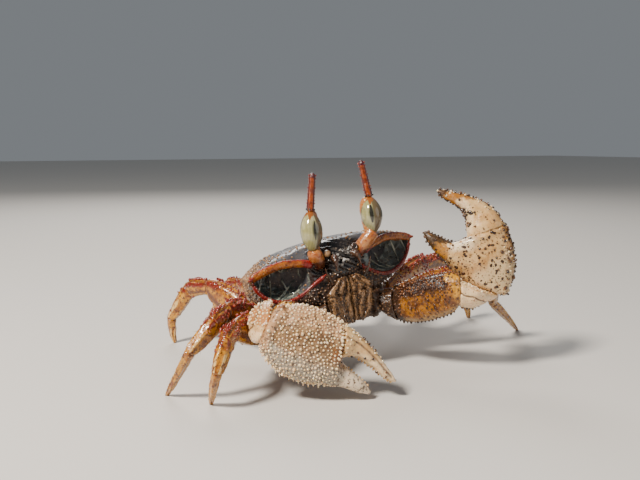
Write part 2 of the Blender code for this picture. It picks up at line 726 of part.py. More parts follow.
# Side profile of each palm with its fixed finger, and of the moving finger, wrist first.
CLAW = {
    "right": {
        "top": [(0, 7.6), (2.5, 10.0), (6, 12.0), (11, 13.0), (16, 13.2), (20.4, 12.5), (28, 11.2)],
        "low": [(0, -2.5), (2.5, -4.8), (6, -6.6), (11, -7.5), (16, -7.2), (21.5, -5.6), (28, -4.0)],
        "seat": [(0, -2.5), (0, 7.6)],
        "cut": [(20.2, 12.5), (22.9, 2.2)],
        "finger": [(16, 4.0, -6.8), (20.5, 3.2, -5.9), (24.5, 2.0, -5.0), (27.5, 0.8, -4.5),
                   (30.5, -0.1, -4.1), (33.0, -1.1, -3.7), (34.6, -2.1, -3.3)],
        "dactyl": [(20.6, 12.5, 23.3, 3.2), (24.0, 11.7, 25.8, 4.7), (27.6, 10.2, 28.9, 4.6),
                   (31.2, 8.5, 31.8, 4.0), (34.8, 6.6, 34.8, 3.1), (38.0, 4.9, 37.6, 2.6),
                   (40.3, 3.2, 39.6, 2.5)],
    },
    "left": {
        "top": [(-3.4, 5.6), (-2.2, 8.6), (0.6, 12.2), (3.9, 15.0), (8.6, 17.3), (15.3, 19.0), (22, 18.5)],
        "low": [(-3.4, 2.6), (-2.2, 0.4), (0.6, -1.4), (3.9, -2.2), (8.6, -2.4), (15.3, -3.2), (22, -4)],
        "seat": [(8.6, -2.6), (-3.0, 4.6)],
        "cut": [(15.0, 18.9), (18.3, 6.4)],
        "finger": [(11, 6.5, -2.2), (14.5, 6.6, -3.0), (17.6, 4.6, -3.5), (20.8, 2.0, -3.9),
                   (24.0, 0.3, -3.8), (26.8, -1.4, -3.2), (27.9, -2.2, -2.8)],
        "dactyl": [(15.4, 19.0, 18.7, 7.6), (20.9, 18.9, 22.6, 10.0), (25.4, 17.0, 26.4, 10.9),
                   (29.4, 14.4, 29.4, 9.9), (32.8, 11.6, 32.2, 8.8), (35.7, 8.9, 35.0, 8.2)],
    },
}
PALM_BULGE = 5.4
BEAD_STEP = {"right": 2.6, "left": 3.3}
MARGIN_SPINES = 9
COLLAR_REACH = 5.0
PALM_BACK = 3.6


def claw_frame(label):
    """Origin at the wrist, axes along the palm, up to the moving finger, out to its face."""
    arm = ARM[label]
    along = Vector(arm["along"]).normalized()
    face = Vector(arm["face"])
    face = (face - along * face.dot(along)).normalized()
    up = face.cross(along) if label == "right" else along.cross(face)
    return Vector(arm["wrist"]), along, up.normalized(), face


def claw_ring(frame, low, top, bulge, back, count=14, squareness=2.3):
    """A ring between a lower and an upper edge point of the claw's side profile."""
    origin, along, up, face = frame
    a = origin + along * low[0] + up * low[1]
    b = origin + along * top[0] + up * top[1]
    middle = (a + b) / 2
    rise = (b - a) / 2
    ring = []
    for i in range(count):
        angle = 2 * math.pi * i / count
        c, s = math.cos(angle), math.sin(angle)
        p = math.copysign(abs(c) ** (2 / squareness), c)
        q = math.copysign(abs(s) ** (2 / squareness), s)
        depth = bulge if p > 0 else back
        ring.append(middle + rise * q + face * (depth * p))
    return ring


def palm_core(label, frame):
    shape = CLAW[label]
    first = shape["top"][0][0]
    last = shape["top"][-1][0]
    stations = [0, 0.06, 0.2, 0.4, 0.6, 0.8, 1]
    rings = []
    for step in stations:
        x = first + (last - first) * step
        fill = 0.62 + 0.38 * math.sin(math.pi * min(1, 0.1 + 0.9 * step))
        low = (x, lookup(shape["low"], x))
        top = (x, lookup(shape["top"], x))
        rings.append(claw_ring(frame, low, top, PALM_BULGE * fill, PALM_BACK * fill))
    verts, faces = skin_rings(rings)
    core = make_object("claw_" + label + "_propodus", verts, faces, "claw")
    point, normal = seat_plane(label, frame, "cut")
    slice_off(core, point, normal)
    if label == "left":
        point, normal = seat_plane(label, frame, "seat")
        slice_off(core, point, -normal)
    return core


def seat_plane(label, frame, which):
    """A plane through two points of the side profile, looking towards the finger tips."""
    origin, along, up, face = frame
    first, second = CLAW[label][which]
    a = origin + along * first[0] + up * first[1]
    b = origin + along * second[0] + up * second[1]
    normal = (b - a).cross(face).normalized()
    if normal.dot(along) < 0:
        normal = -normal
    return (a + b) / 2, normal


def slice_off(core, point, normal):
    """Cut a flat seat across a solid and close it."""
    shift = Vector((CENTRE_X, CENTRE_Y, 0))
    mesh = bmesh.new()
    mesh.from_mesh(core.data)
    parts = mesh.verts[:] + mesh.edges[:] + mesh.faces[:]
    bmesh.ops.bisect_plane(mesh, geom=parts, plane_co=(point - shift) * MM, plane_no=normal, clear_outer=True)
    border = [edge for edge in mesh.edges if edge.is_boundary]
    bmesh.ops.holes_fill(mesh, edges=border, sides=0)
    bmesh.ops.triangulate(mesh, faces=mesh.faces)
    bmesh.ops.recalc_face_normals(mesh, faces=mesh.faces)
    mesh.to_mesh(core.data)
    mesh.free()


def fixed_finger(label, frame):
    rows = CLAW[label]["finger"]
    rings = []
    for i, (x, top, low) in enumerate(rows):
        thick = 3.4 * (1 - 0.8 * (i / (len(rows) - 1)) ** 1.6)
        rings.append(claw_ring(frame, (x, low), (x, top), thick, thick * 0.8, 10))
    verts, faces = skin_rings(rings)
    return make_object("finger", verts, faces, "claw")


def claw_spot(frame, x, z):
    """A place in the claw's side profile."""
    origin, along, up, _ = frame
    return origin + along * x + up * z


def palm_beads(label, frame, palm):
    """Beads in staggered rows over the palm's outer face, and spines along both margins."""
    _, along, up, face = frame
    shape = CLAW[label]
    first, last = shape["top"][0][0], shape["cut"][1][0]
    seats = [(seat_plane(label, frame, "seat"), 1), (seat_plane(label, frame, "cut"), -1)]
    reach = Vector((last - first, 0, 0))
    spots = []
    for p, _ in patch_spots(Vector((first, -8, 0)), reach, Vector((0, 28, 0)), face, BEAD_STEP[label]):
        place = claw_spot(frame, p.x, p.y)
        clear = all((place - point).dot(normal) * way > 1.3 for (point, normal), way in seats)
        if clear and lookup(shape["low"], p.x) + 1.6 < p.y < lookup(shape["top"], p.x) - 1.6:
            spots.append((place, face))
    beads = bead_surface(palm, spots, *PALM_BEAD)
    for edge, out, height in (("low", -up, 1.3), ("top", up, 0.7)):
        line = []
        for i in range(MARGIN_SPINES):
            x = first + 1.5 + (last - first - 4) * i / (MARGIN_SPINES - 1)
            place = claw_spot(frame, x, lookup(shape[edge], x))
            if all((place - point).dot(normal) * way > 0.9 for (point, normal), way in seats):
                line.append((place, out))
        beads += bead_surface(palm, line, MARGIN_RADIUS, height)
    return beads


def gape_teeth(piece, frame, points, out):
    """Low teeth along a finger's biting edge."""
    line = [Vector((x, 0, z)) for x, z in points]
    spots = [(claw_spot(frame, p.x, p.z), out) for p in smooth_line(line, 2)[1:-1]]
    return bead_surface(piece, spots, *TOOTH)


def claw_dactyl(label, frame):
    rows = CLAW[label]["dactyl"]
    rings = []
    for i, (outer_x, outer_z, inner_x, inner_z) in enumerate(rows):
        thick = 3.7 * (1 - 0.8 * (i / (len(rows) - 1)) ** 1.5)
        rings.append(claw_ring(frame, (inner_x, inner_z), (outer_x, outer_z), thick, thick * 0.85, 12))
    verts, faces = skin_rings(rings)
    finger = make_object("claw_" + label + "_dactyl", verts, faces, "claw")
    up = frame[2]
    back = smooth_line([Vector((row[0], 0, row[1])) for row in rows[:-1]], 2)[1:]
    spots = [(claw_spot(frame, p.x, p.z), up) for p in back]
    teeth = gape_teeth(finger, frame, [(row[2], row[3]) for row in rows[1:-1]], -up)
    combine(finger, bead_surface(finger, spots, *FINGER_BEAD) + teeth)


def hull_of(cloud):
    """Corners and faces of the hull round a cloud of points."""
    mesh = bmesh.new()
    for point in cloud:
        mesh.verts.new(point)
    bmesh.ops.remove_doubles(mesh, verts=mesh.verts, dist=GAP)
    bmesh.ops.convex_hull(mesh, input=mesh.verts)
    inner = [vert for vert in mesh.verts if not vert.link_faces]
    bmesh.ops.delete(mesh, geom=inner, context="VERTS")
    mesh.verts.index_update()
    verts = [vert.co.copy() for vert in mesh.verts]
    faces = [[vert.index for vert in face.verts] for face in mesh.faces]
    mesh.free()
    return verts, faces


def ball_points(middle, radius):
    """Rings of points on a ball."""
    cloud = []
    for lift in (-0.8, -0.4, 0, 0.4, 0.8):
        across = radius * math.sqrt(1 - lift * lift)
        centre = middle + Vector((0, 0, radius * lift))
        cloud += oval(centre, Vector((1, 0, 0)), Vector((0, 1, 0)), across, across, 8)
    return cloud


def upper_arm(label, collar, collar_way, elbow, elbow_way, flat, face):
    """Broad merus of a claw arm, with spiny upper and lower edges and a granular face."""
    start, end = collar + collar_way * (GAP / 2), elbow - elbow_way * (GAP / 2)
    rows = [(0, 10.2, 6.4, -1.2), (0.2, 12.6, 7.2, -1.2), (0.5, 13.8, 7.6, -0.8),
            (0.8, 12.8, 7.6, -0.2), (1, 10.2, 6.8, 0)]
    rings = limb_rings(start, end, collar_way, elbow_way, flat, rows, 10)
    merus = build_limb("claw_" + label + "_merus", rings, "arm")
    up = Vector((0, 0, 1))
    near, far = collar.lerp(elbow, 0.12), collar.lerp(elbow, 0.92)
    beads = bead_surface(merus, row_spots(near, far, up, 7), *CREST_BEAD)
    beads += bead_surface(merus, row_spots(near, far, -up, 7), *ARM_SPINE)
    patch = patch_spots(near + up * 0.5, far - near, up * 4.5, face, 3.4)
    combine(merus, beads + bead_surface(merus, patch, *ARM_BEAD))


def claw_carpus(label, frame, elbow, elbow_way, flat):
    """Rounded block that turns the arm from the elbow to the palm's seat."""
    face = frame[3]
    start = elbow + elbow_way * (GAP / 2)
    seat, seat_way = seat_plane(label, frame, "seat")
    end = seat - seat_way * GAP
    (x0, z0), (x1, z1) = CLAW[label]["seat"]
    half_tall = math.hypot(x1 - x0, z1 - z0) / 2 - 0.4
    rise = flat.cross(elbow_way).normalized()
    cloud = oval(start, rise.cross(elbow_way), rise, 3.4, 4.9, 10, 2.3)
    cloud += oval(end, face, seat_way.cross(face).normalized(), 3.3, half_tall, 10, 2.3)
    cloud += ball_points(start.lerp(end, 0.5), ARM[label]["bulge"])
    kept = [p for p in cloud if (p - start).dot(elbow_way) > -0.01 and (p - end).dot(seat_way) < 0.01]
    verts, faces = hull_of(kept)
    carpus = make_object("claw_" + label + "_carpus", verts, faces, "arm")
    up = Vector((0, 0, 1))
    corner = elbow.lerp(seat, 0.15) - up * 3
    patch = patch_spots(corner, (seat - elbow) * 0.6, up * 7, face, 2.8)
    combine(carpus, bead_surface(carpus, patch, *WRIST_BEAD))


def palm(label, frame):
    """Palm with its fixed finger, biting teeth, beads and spines."""
    core = palm_core(label, frame)
    combine(core, [fixed_finger(label, frame)])
    bite = [(x, top) for x, top, low in CLAW[label]["finger"][2:-1]]
    combine(core, palm_beads(label, frame, core) + gape_teeth(core, frame, bite, frame[2]))


def claw_arm(label, side):
    """A claw arm from its root: ischium, merus, carpus, palm and moving finger."""
    elbow, wrist = Vector(ARM[label]["elbow"]), Vector(ARM[label]["wrist"])
    root, root_way = root_place(0, side)
    frame = claw_frame(label)
    face = frame[3]
    flat = face * side
    collar = root + root_way * COLLAR_REACH
    arm_way = (elbow - collar).normalized()
    collar_way = (root_way + arm_way).normalized()
    elbow_way = (arm_way + (wrist - elbow).normalized()).normalized()
    rows = [(0, 6.6, 6.0, 0), (0.5, 8.4, 6.2, -0.6), (1, 10.0, 6.4, -1.2)]
    start, end = root + root_way * GAP, collar - collar_way * (GAP / 2)
    rings = limb_rings(start, end, root_way, collar_way, flat, rows, 10)
    build_limb("claw_" + label + "_ischium", rings, "arm")
    upper_arm(label, collar, collar_way, elbow, elbow_way, flat, face)
    claw_carpus(label, frame, elbow, elbow_way, flat)
    palm(label, frame)
    claw_dactyl(label, frame)


def build():
    clear_scene()
    carapace()
    sternum()
    abdomen()
    for side, label in ((1, "left"), (-1, "right")):
        maxilliped(side, label)
        eyestalk(side, label)
        eye(label)
        horn(label)
        antennule(side, label)
        antenna(side, label)
        claw_arm(label, side)
        for index in (1, 2, 3, 4):
            leg("leg_" + str(index) + "_" + label, index, side)


build()
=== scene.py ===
# Horned ghost crab, life size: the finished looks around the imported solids.
# Lengths are millimetres unless a line says otherwise, and become metres in a mesh.

import math

import bmesh
import bpy
import numpy as np
from mathutils import Matrix, Vector, noise


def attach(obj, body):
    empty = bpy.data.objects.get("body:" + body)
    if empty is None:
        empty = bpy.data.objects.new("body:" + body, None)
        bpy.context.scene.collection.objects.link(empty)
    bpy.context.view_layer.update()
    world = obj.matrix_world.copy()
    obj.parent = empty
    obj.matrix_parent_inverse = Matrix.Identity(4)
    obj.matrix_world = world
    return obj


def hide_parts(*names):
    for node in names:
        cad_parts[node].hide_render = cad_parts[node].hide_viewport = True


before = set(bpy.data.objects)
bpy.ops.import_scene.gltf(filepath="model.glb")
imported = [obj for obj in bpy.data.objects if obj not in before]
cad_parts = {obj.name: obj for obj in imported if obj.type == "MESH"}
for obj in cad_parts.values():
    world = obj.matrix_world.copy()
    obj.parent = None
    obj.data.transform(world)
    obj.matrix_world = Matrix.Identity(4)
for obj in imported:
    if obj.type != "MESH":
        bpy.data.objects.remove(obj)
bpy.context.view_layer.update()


# Camera, floor and light: the crab is seen from low in front, over its right claw,
# on a pale floor under a broad soft light from the upper left, as a museum table shows it.
# These places and sizes are metres.
CAMERA_PLACE = (-0.1373, -0.2359, 0.0720)
CAMERA_TURN = math.radians(28)
CAMERA_DIP = math.radians(6.98)
CAMERA_LENS = 45
CRAB_MIDDLE = Vector((0, -0.01, 0.03))
FLOOR_REACH = 3.0
FLOOR_DROP = 0.0001
ROOM_STRENGTH = 0.24
in_room = bpy.context.scene.collection.objects.link


def stand(name, data, place, way):
    """A camera or lamp at a place, looking along a way."""
    thing = bpy.data.objects.new(name, data)
    thing.location = place
    thing.rotation_mode = "QUATERNION"
    thing.rotation_quaternion = Vector(way).to_track_quat("-Z", "Y")
    in_room(thing)
    return thing


lens = bpy.data.cameras.new("camera")
lens.lens = CAMERA_LENS
lens.sensor_width = 36
lens.clip_start = 0.01
ahead = (math.sin(CAMERA_TURN), math.cos(CAMERA_TURN), -math.tan(CAMERA_DIP))
bpy.context.scene.camera = stand("camera", lens, CAMERA_PLACE, ahead)
for name, place, size, power, colour in (
    ("key", (-0.50, -0.16, 0.52), 0.14, 10.5, (1.0, 0.93, 0.84)),
    ("fill", (0.45, -0.60, 0.30), 0.60, 0.8, (0.92, 0.96, 1.0)),
    ("back", (0.15, 0.60, 0.50), 0.40, 3.4, (1.0, 0.97, 0.93)),
):
    light = bpy.data.lights.new(name, "AREA")
    light.shape = "DISK"
    light.size = size
    light.energy = power
    light.color = colour
    stand(name, light, place, CRAB_MIDDLE - Vector(place))

sheet = bpy.data.meshes.new("floor")
corners = [(-1, -1, 0), (1, -1, 0), (1, 1, 0), (-1, 1, 0)]
sheet.from_pydata([(x * FLOOR_REACH, y * FLOOR_REACH, z) for x, y, z in corners], [], [(0, 1, 2, 3)])
floor = bpy.data.objects.new("floor", sheet)
floor.location.z = -FLOOR_DROP
in_room(floor)
pale = bpy.data.materials.new("pale_floor")
pale.use_nodes = True
pale.node_tree.nodes["Principled BSDF"].inputs["Base Color"].default_value = (0.62, 0.59, 0.55, 1)
pale.node_tree.nodes["Principled BSDF"].inputs["Roughness"].default_value = 0.8
sheet.materials.append(pale)
world = bpy.data.worlds.new("room")
world.use_nodes = True
world.node_tree.nodes["Background"].inputs["Color"].default_value = (0.80, 0.86, 0.92, 1)
world.node_tree.nodes["Background"].inputs["Strength"].default_value = ROOM_STRENGTH
bpy.context.scene.world = world


# Shell: one hard cap over the body, arched from side to side, with two deep eye sockets
# in its front wall. It is horn-like, slate blue and glossy on top, granular towards its edges.
# Points are in the body's own frame: x to its left, y to its back, z up, from between the eyes.
MM = 0.001
PER_METRE = 1000
BODY_LIFT = np.array([0, 0, 37.0])
BODY_ROLL = math.radians(10)
BODY_PITCH = math.radians(5)
STANCE_MIDDLE = np.array([14.9, 24.5, 0.0])
body_turn = np.array(Matrix.Rotation(-BODY_ROLL, 3, "Y") @ Matrix.Rotation(-BODY_PITCH, 3, "X"))
SIDES = ((1, "left"), (-1, "right"))
SHELL_EDGE = [
    (0, 3.9, 1.3), (4.6, 4.3, 1.0), (6.2, 7.1, 0.8), (11, 7.5, 1.2), (14, 8.2, 1.4),
    (19.1, 8.8, 2.2), (25, 9.6, 1.3), (30, 10.4, -0.3), (28.6, 16.5, -1.2),
    (26.8, 24, -2.4), (24.2, 32, -4), (20.2, 39.5, -6), (14.5, 45, -7.6), (7, 47.4, -8.6), (0, 48, -9),
]
SHELL_WIDTH = [(3.9, 4), (10.4, 30), (16.5, 28.6), (24, 26.8), (32, 24.2), (39.5, 20.2), (45, 14.5), (48, 2)]
SOCKET_SILL = [
    (0, -4.4), (6.6, -4.4), (9.4, -6.5), (14, -9.2), (18.5, -10.2), (22.5, -9.4),
    (26, -7.4), (28.6, -3.8), (30.1, -2.0),
]
SHELL_RIDGE = [(8, 4.6), (12, 5.4), (20, 5.2), (30, 3.6), (38, 1.0), (46, -3.8)]
SHELL_FLOOR = -13.6
FLOOR_EDGE = [
    (0, 5.6), (4, 5.7), (8, 6.2), (12, 8.2), (15.5, 11), (17.6, 14.5), (18.6, 18), (18.9, 22),
    (18.4, 27), (16.8, 32), (13.8, 36.5), (9.5, 39.5), (4, 41), (0, 41.2),
]
BROW_PLAN = [(6, 7.1), (11, 7.5), (19, 8.8), (30, 10.4)]
BROW_RIM = [(11.4, 0.5), (15, 0.8), (19, 1.5), (23, 1.0), (26.5, 0.2)]
NECK_GROOVE = [(14.5, 12), (11.5, 17), (12.5, 23), (9.0, 28.5), (4.5, 31)]
HEART_GROOVE = [(6.5, 29), (8.5, 34), (7.5, 40), (8.8, 45)]


def on_floor(points):
    """Body frame to the stance above the floor, still in millimetres."""
    return np.asarray(points, float) @ body_turn.T + BODY_LIFT


def in_body(points):
    """Stance to body frame."""
    return (np.asarray(points, float) - BODY_LIFT) @ body_turn


def in_metres(points):
    """Stance millimetres to the metres of the row's frame."""
    return (np.asarray(points, float) - STANCE_MIDDLE) * MM


def mirrored(points, side):
    points = np.array(points, float)
    points[:, 0] *= side
    return points


def read_off(table, values):
    table = np.array(table, float)
    return np.interp(values, table[:, 0], table[:, 1])


def smooth_line(points, steps, closed=False):
    """A smooth run through a few points, as rows of an array."""
    p = np.asarray(points, float)
    if closed:
        p = np.vstack([p[-1:], p, p[:2]])
    else:
        p = np.vstack([2 * p[0] - p[1], p, 2 * p[-1] - p[-2]])
    line = []
    for i in range(1, len(p) - 2):
        a, b, c, d = p[i - 1 : i + 3]
        for t in np.arange(steps) / steps:
            bend = (2 * a - 5 * b + 4 * c - d) * t * t + (3 * b - a - 3 * c + d) * t**3
            line.append(b + 0.5 * ((c - a) * t + bend))
    return np.array(line if closed else line + [p[-2]])


def grid_faces(rows, columns, closed_round, start=0):
    faces = []
    for r in range(rows - 1):
        for c in range(columns if closed_round else columns - 1):
            a, b = (start + r * columns + k for k in (c, (c + 1) % columns))
            faces.append((a, b, b + columns, a + columns))
    return faces


def add_piece(name, verts, faces, finish=None):
    """A mesh from stance millimetres, standing in the row's frame, faces outwards."""
    mesh = bpy.data.meshes.new(name)
    mesh.from_pydata(in_metres(verts).tolist(), [], faces)
    clean = bmesh.new()
    clean.from_mesh(mesh)
    bmesh.ops.remove_doubles(clean, verts=clean.verts, dist=0.000001)
    bmesh.ops.recalc_face_normals(clean, faces=clean.faces)
    # Where a tube's path stands still, its ring has no place: those corners are left out.
    lost = [vert for vert in clean.verts if not math.isfinite(vert.co.x)]
    bmesh.ops.delete(clean, geom=lost, context="VERTS")
    clean.to_mesh(mesh)
    clean.free()
    mesh.shade_smooth()
    piece = bpy.data.objects.new(name, mesh)
    in_room(piece)
    if finish:
        mesh.materials.append(finish)
    return piece


def settle(piece):
    """Turn a piece's modifiers into plain mesh."""
    bpy.context.view_layer.update()
    seen = piece.evaluated_get(bpy.context.evaluated_depsgraph_get())
    mesh = bpy.data.meshes.new_from_object(seen)
    piece.modifiers.clear()
    piece.data = mesh
    return piece


def knead(piece, grain, rounds=0):
    """One even skin over everything in the piece, softened a little."""
    remesh = piece.modifiers.new("skin", "REMESH")
    remesh.mode = "VOXEL"
    remesh.voxel_size = grain * MM
    if rounds:
        soft = piece.modifiers.new("soft", "SMOOTH")
        soft.factor = 0.5
        soft.iterations = rounds
    settle(piece).data.shade_smooth()


def carve(piece, hollows):
    """Cut other closed meshes out of a piece."""
    for hollow in hollows:
        cut = piece.modifiers.new("carve", "BOOLEAN")
        cut.operation = "DIFFERENCE"
        cut.object = hollow
        cut.solver = "EXACT"
    settle(piece)
    for hollow in hollows:
        bpy.data.objects.remove(hollow, do_unlink=True)


def corner_values(piece, kind):
    values = np.zeros(len(piece.data.vertices) * 3)
    piece.data.vertices.foreach_get(kind, values)
    return values.reshape(-1, 3)


def spots_of(piece):
    """The piece's corners in stance millimetres."""
    return corner_values(piece, "co") * PER_METRE + STANCE_MIDDLE


def normals_of(piece):
    return corner_values(piece, "normal")


def move_to(piece, spots):
    piece.data.vertices.foreach_set("co", in_metres(spots).ravel())
    piece.data.update()


def push(piece, amount):
    """Move each corner along its normal by so many millimetres."""
    move_to(piece, spots_of(piece) + normals_of(piece) * np.asarray(amount)[:, None])


def paint(piece, **looks):
    """Named values from 0 to 1 at each corner, for the finish and for what grows there."""
    layers = piece.data.attributes
    for name, values in looks.items():
        layer = layers.get(name) or layers.new(name, "FLOAT", "POINT")
        values = np.broadcast_to(np.clip(values, 0, 1), len(layer.data))
        layer.data.foreach_set("value", values.astype(np.float32))


def ease(low, high, values):
    """Soft step from 0 at low to 1 at high."""
    t = np.clip((np.asarray(values, float) - low) / (high - low), 0, 1)
    return t * t * (3 - 2 * t)


def hump(off, width):
    """A soft swelling: 1 where off is 0, gone some widths away."""
    return np.exp(-((off / width) ** 2))


def line_distance(points, line):
    """Distance of each point to the nearest point of a dense line."""
    best = np.full(len(points), 1e9)
    for spot in line:
        best = np.minimum(best, np.sum((points - spot) ** 2, axis=1))
    return np.sqrt(best)


def wrinkle(points, size, seed=0.0):
    """Slow noise from -1 to 1 at stance points, for folds and uneven skin."""
    return np.array([noise.noise(Vector(p) / size + Vector((seed, seed, seed))) for p in points])


def half_shell():
    """Rows of points from the middle ridge over the edge and down under the body."""
    edge = smooth_line(SHELL_EDGE, 9)
    count = len(edge)
    sole = smooth_line([(x, y, SHELL_FLOOR) for x, y in FLOOR_EDGE], 9)
    sole = sole[np.round(np.linspace(0, len(sole) - 1, count)).astype(int)]
    ridge_y = 10 + (edge[:, 1] - 3.9) / 46.1 * 34
    ridge_z = read_off(SHELL_RIDGE, ridge_y)
    rows = []
    for step in np.linspace(1, 0.03, 26):
        x = edge[:, 0] * (1 - step)
        y = edge[:, 1] + (ridge_y - edge[:, 1]) * step
        z = edge[:, 2] + (ridge_z - edge[:, 2]) * (1 - (1 - step) ** 2.6)
        rows.append(np.column_stack([x, y, z]))
    rows.append(edge)
    front = edge[:, 1] < 11
    fall = 2.0 + 3.5 * np.sin(np.pi * np.clip((edge[:, 1] - 11) / 34, 0, 1))
    sill = np.column_stack([
        np.where(front, edge[:, 0], edge[:, 0] * 0.99),
        np.where(front, edge[:, 1] + 0.2, edge[:, 1] - 0.3),
        np.where(front, read_off(SOCKET_SILL, edge[:, 0]), edge[:, 2] - fall),
    ])
    half = (sill + sole) / 2
    out = np.column_stack([half[:, 0], (half[:, 1] - 24) * 0.6, np.zeros(count)])
    out /= np.maximum(np.linalg.norm(out, axis=1), 0.001)[:, None]
    swell = np.where((half[:, 0] < 9) & (half[:, 1] < 12), 0.3, 1.6)
    guide = 2 * (half + out * swell[:, None]) - half
    for t in np.linspace(0, 1, 7)[1:]:
        rows.append(edge * (1 - t) + sill * t)
    for t in np.linspace(0, 1, 11)[1:]:
        rows.append((1 - t) * ((1 - t) * sill + t * guide) + t * ((1 - t) * guide + t * sole))
    rows.append(np.column_stack([np.zeros(count), sole[:, 1], sole[:, 2]]))
    return np.vstack(rows), len(rows), count


def socket_bowl(side):
    """The hollow of one eye socket, drawn forward out of the front wall."""
    sill = [(x, read_off(SOCKET_SILL, x) + 0.5) for x in (11.4, 14.5, 18.5, 22.5, 26, 28.2)]
    brow = [(x, z - 0.02) for x, z in reversed(BROW_RIM)]
    outline = smooth_line(sill + [(29.0, -0.6)] + brow, 6, closed=True)
    plan = read_off(BROW_PLAN, outline[:, 0])
    middle = np.array([19.5, -3.6])
    rings = []
    for t in np.linspace(0, 1, 12):
        depth = -3.0 + 9.0 * t
        inset = 0.04 if depth < 0.5 else 0.04 + 0.5 * ((depth - 0.5) / 5.5) ** 2.2
        flat = outline * (1 - inset) + middle * inset
        rings.append(np.column_stack([flat[:, 0] * side, plan + depth, flat[:, 1]]))
    count, last = len(outline), len(outline) * (len(rings) - 1)
    faces = grid_faces(len(rings), count, True) + [tuple(range(count)), tuple(range(last, last + count))]
    return add_piece("bowl", on_floor(np.vstack(rings)), faces)


half, rows, columns = half_shell()
faces = grid_faces(rows, columns, False) + grid_faces(rows, columns, False, len(half))
carapace = add_piece("carapace_shell", on_floor(np.vstack([half, mirrored(half, -1)])), faces)
knead(carapace, 0.45)
carve(carapace, [socket_bowl(1), socket_bowl(-1)])
knead(carapace, 0.42, 5)

# The back's relief: a groove round the stomach region, one down each side of the heart
# region, and low swellings over the gills.
body = in_body(spots_of(carapace))
across, along, high = np.abs(body[:, 0]), body[:, 1], body[:, 2]
flat_body = np.column_stack([across, along])
top = ease(0.0, 0.6, normals_of(carapace) @ body_turn[:, 2])
groove = hump(line_distance(flat_body, smooth_line(NECK_GROOVE, 10)), 1.1)
groove = groove + 0.7 * hump(line_distance(flat_body, smooth_line(HEART_GROOVE, 10)), 0.9)
swell = 0.5 * np.exp(-((across - 19) ** 2 / 40 + (along - 25) ** 2 / 70))
push(carapace, top * (swell - 0.5 * groove))

# Where each look of the shell lies: socket, brow, outer edge, granular cheeks and underside.
plan, sill, rim = read_off(BROW_PLAN, across), read_off(SOCKET_SILL, across), read_off(BROW_RIM, across)
in_socket = (across > 9.3) & (across < 29.2) & (along > plan - 0.15) & (along < plan + 7)
in_socket &= (high > sill - 0.1) & (high < rim + 0.15)
outwards = (normals_of(carapace) @ body_turn[:, 0]) * np.sign(body[:, 0])
upwards = normals_of(carapace) @ body_turn[:, 2]
on_top = (upwards > 0.25) & (high > rim - 1.2)
in_socket &= ~(((outwards > 0.3) | on_top) & (along > plan + 0.5))
outer = across / read_off(SHELL_WIDTH, along)
below = ease(-0.15, -0.5, upwards) * (1 - in_socket)
front_wall = (along < plan + 3) & (high < sill + 0.4) & ~in_socket
brow = ease(11.5, 8.5, across) * ease(11, 8, along) * ease(-6.0, -4.0, high)
folds = np.zeros(len(body))
inside = body[in_socket]
folds[in_socket] = np.abs(wrinkle(inside, 2.6)) * 1.1 + 0.5 * np.abs(wrinkle(inside, 1.1, 5))
ridged = np.zeros(len(body))
at_brow = brow > 0.02
ridged[at_brow] = np.sin(body[at_brow] @ [1.5, 0.8, 2.4] + 2.0 * wrinkle(body[at_brow], 3.0, 2))
push(carapace, 0.5 * brow * ridged - 0.85 * folds * ease(0.3, 1.6, along - plan))
lining = in_socket * ease(2.4, 1.3, rim - high)
flank = ease(0.84, 0.95, outer) * ease(0.45, 0.1, upwards) * ease(-0.8, -0.5, upwards) * ease(27, 20, along)
# Painted shade: the sockets' inner end walls take the dark colour of the underside.
under = np.maximum(np.maximum(below, front_wall), in_socket * ease(11.6, 10.4, across))
granular = top * np.clip(ease(0.5, 0.95, outer) + 0.35 * ease(17, 12, along), 0, 1) + 0.8 * flank
paint(
    carapace,
    lining=lining * ease(11, 13, across),
    # Painted light: the left socket alone is lightened with a pale grey-green.
    silver=0.75 * in_socket * (body[:, 0] > 0),
    socket=in_socket * ease(10.4, 11.6, across) * (1 - lining),
    outer=ease(0.74, 1.02, outer) * np.maximum(top, ease(-0.6, -0.2, upwards)),
    below=under + 0.42 * flank,
    brow=brow,
    wet=np.maximum(brow * 0.9, in_socket * 0.8),
    granules=granular * (1 - in_socket) * (1 - brow),
    cheeks=np.maximum(front_wall, 0.5 * below) * (1 - in_socket),
)


def feed(made, feeds):
    """Set inputs of a node: each from a value, a socket, or another node's first output."""
    for key, given in feeds.items():
        socket = made.inputs[key]
        for one in given if isinstance(given, list) else [given]:
            if isinstance(one, bpy.types.Node):
                one = next(output for output in one.outputs if output.enabled)
            if isinstance(one, bpy.types.NodeSocket):
                made.id_data.links.new(one, socket)
            else:
                socket.default_value = (*one, 1) if socket.type == "RGBA" else one


def node(tree, kind, feeds={}, **settings):
    made = tree.nodes.new(kind)
    for key, value in settings.items():
        setattr(made, key, value)
    feed(made, feeds)
    return made


def sums(tree, how, *given):
    return node(tree, "ShaderNodeMath", dict(enumerate(given)), operation=how)


def new_group(kind, name, inputs, result, result_kind):
    """A node group with named inputs, each a name, a kind and mostly a usual value."""
    group = bpy.data.node_groups.new(name, kind)
    for label, sort, *usual in inputs:
        socket = group.interface.new_socket(label, in_out="INPUT", socket_type="NodeSocket" + sort)
        if usual:
            socket.default_value = usual[0]
    group.interface.new_socket(result, in_out="OUTPUT", socket_type="NodeSocket" + result_kind)
    return group, node(group, "NodeGroupInput").outputs


def geometry_tree(name, inputs):
    whole = [("Geometry", "Geometry")] + inputs + [("Seed", "Int", 1), ("Finish", "Material")]
    return new_group("GeometryNodeTree", name, whole, "Geometry", "Geometry")


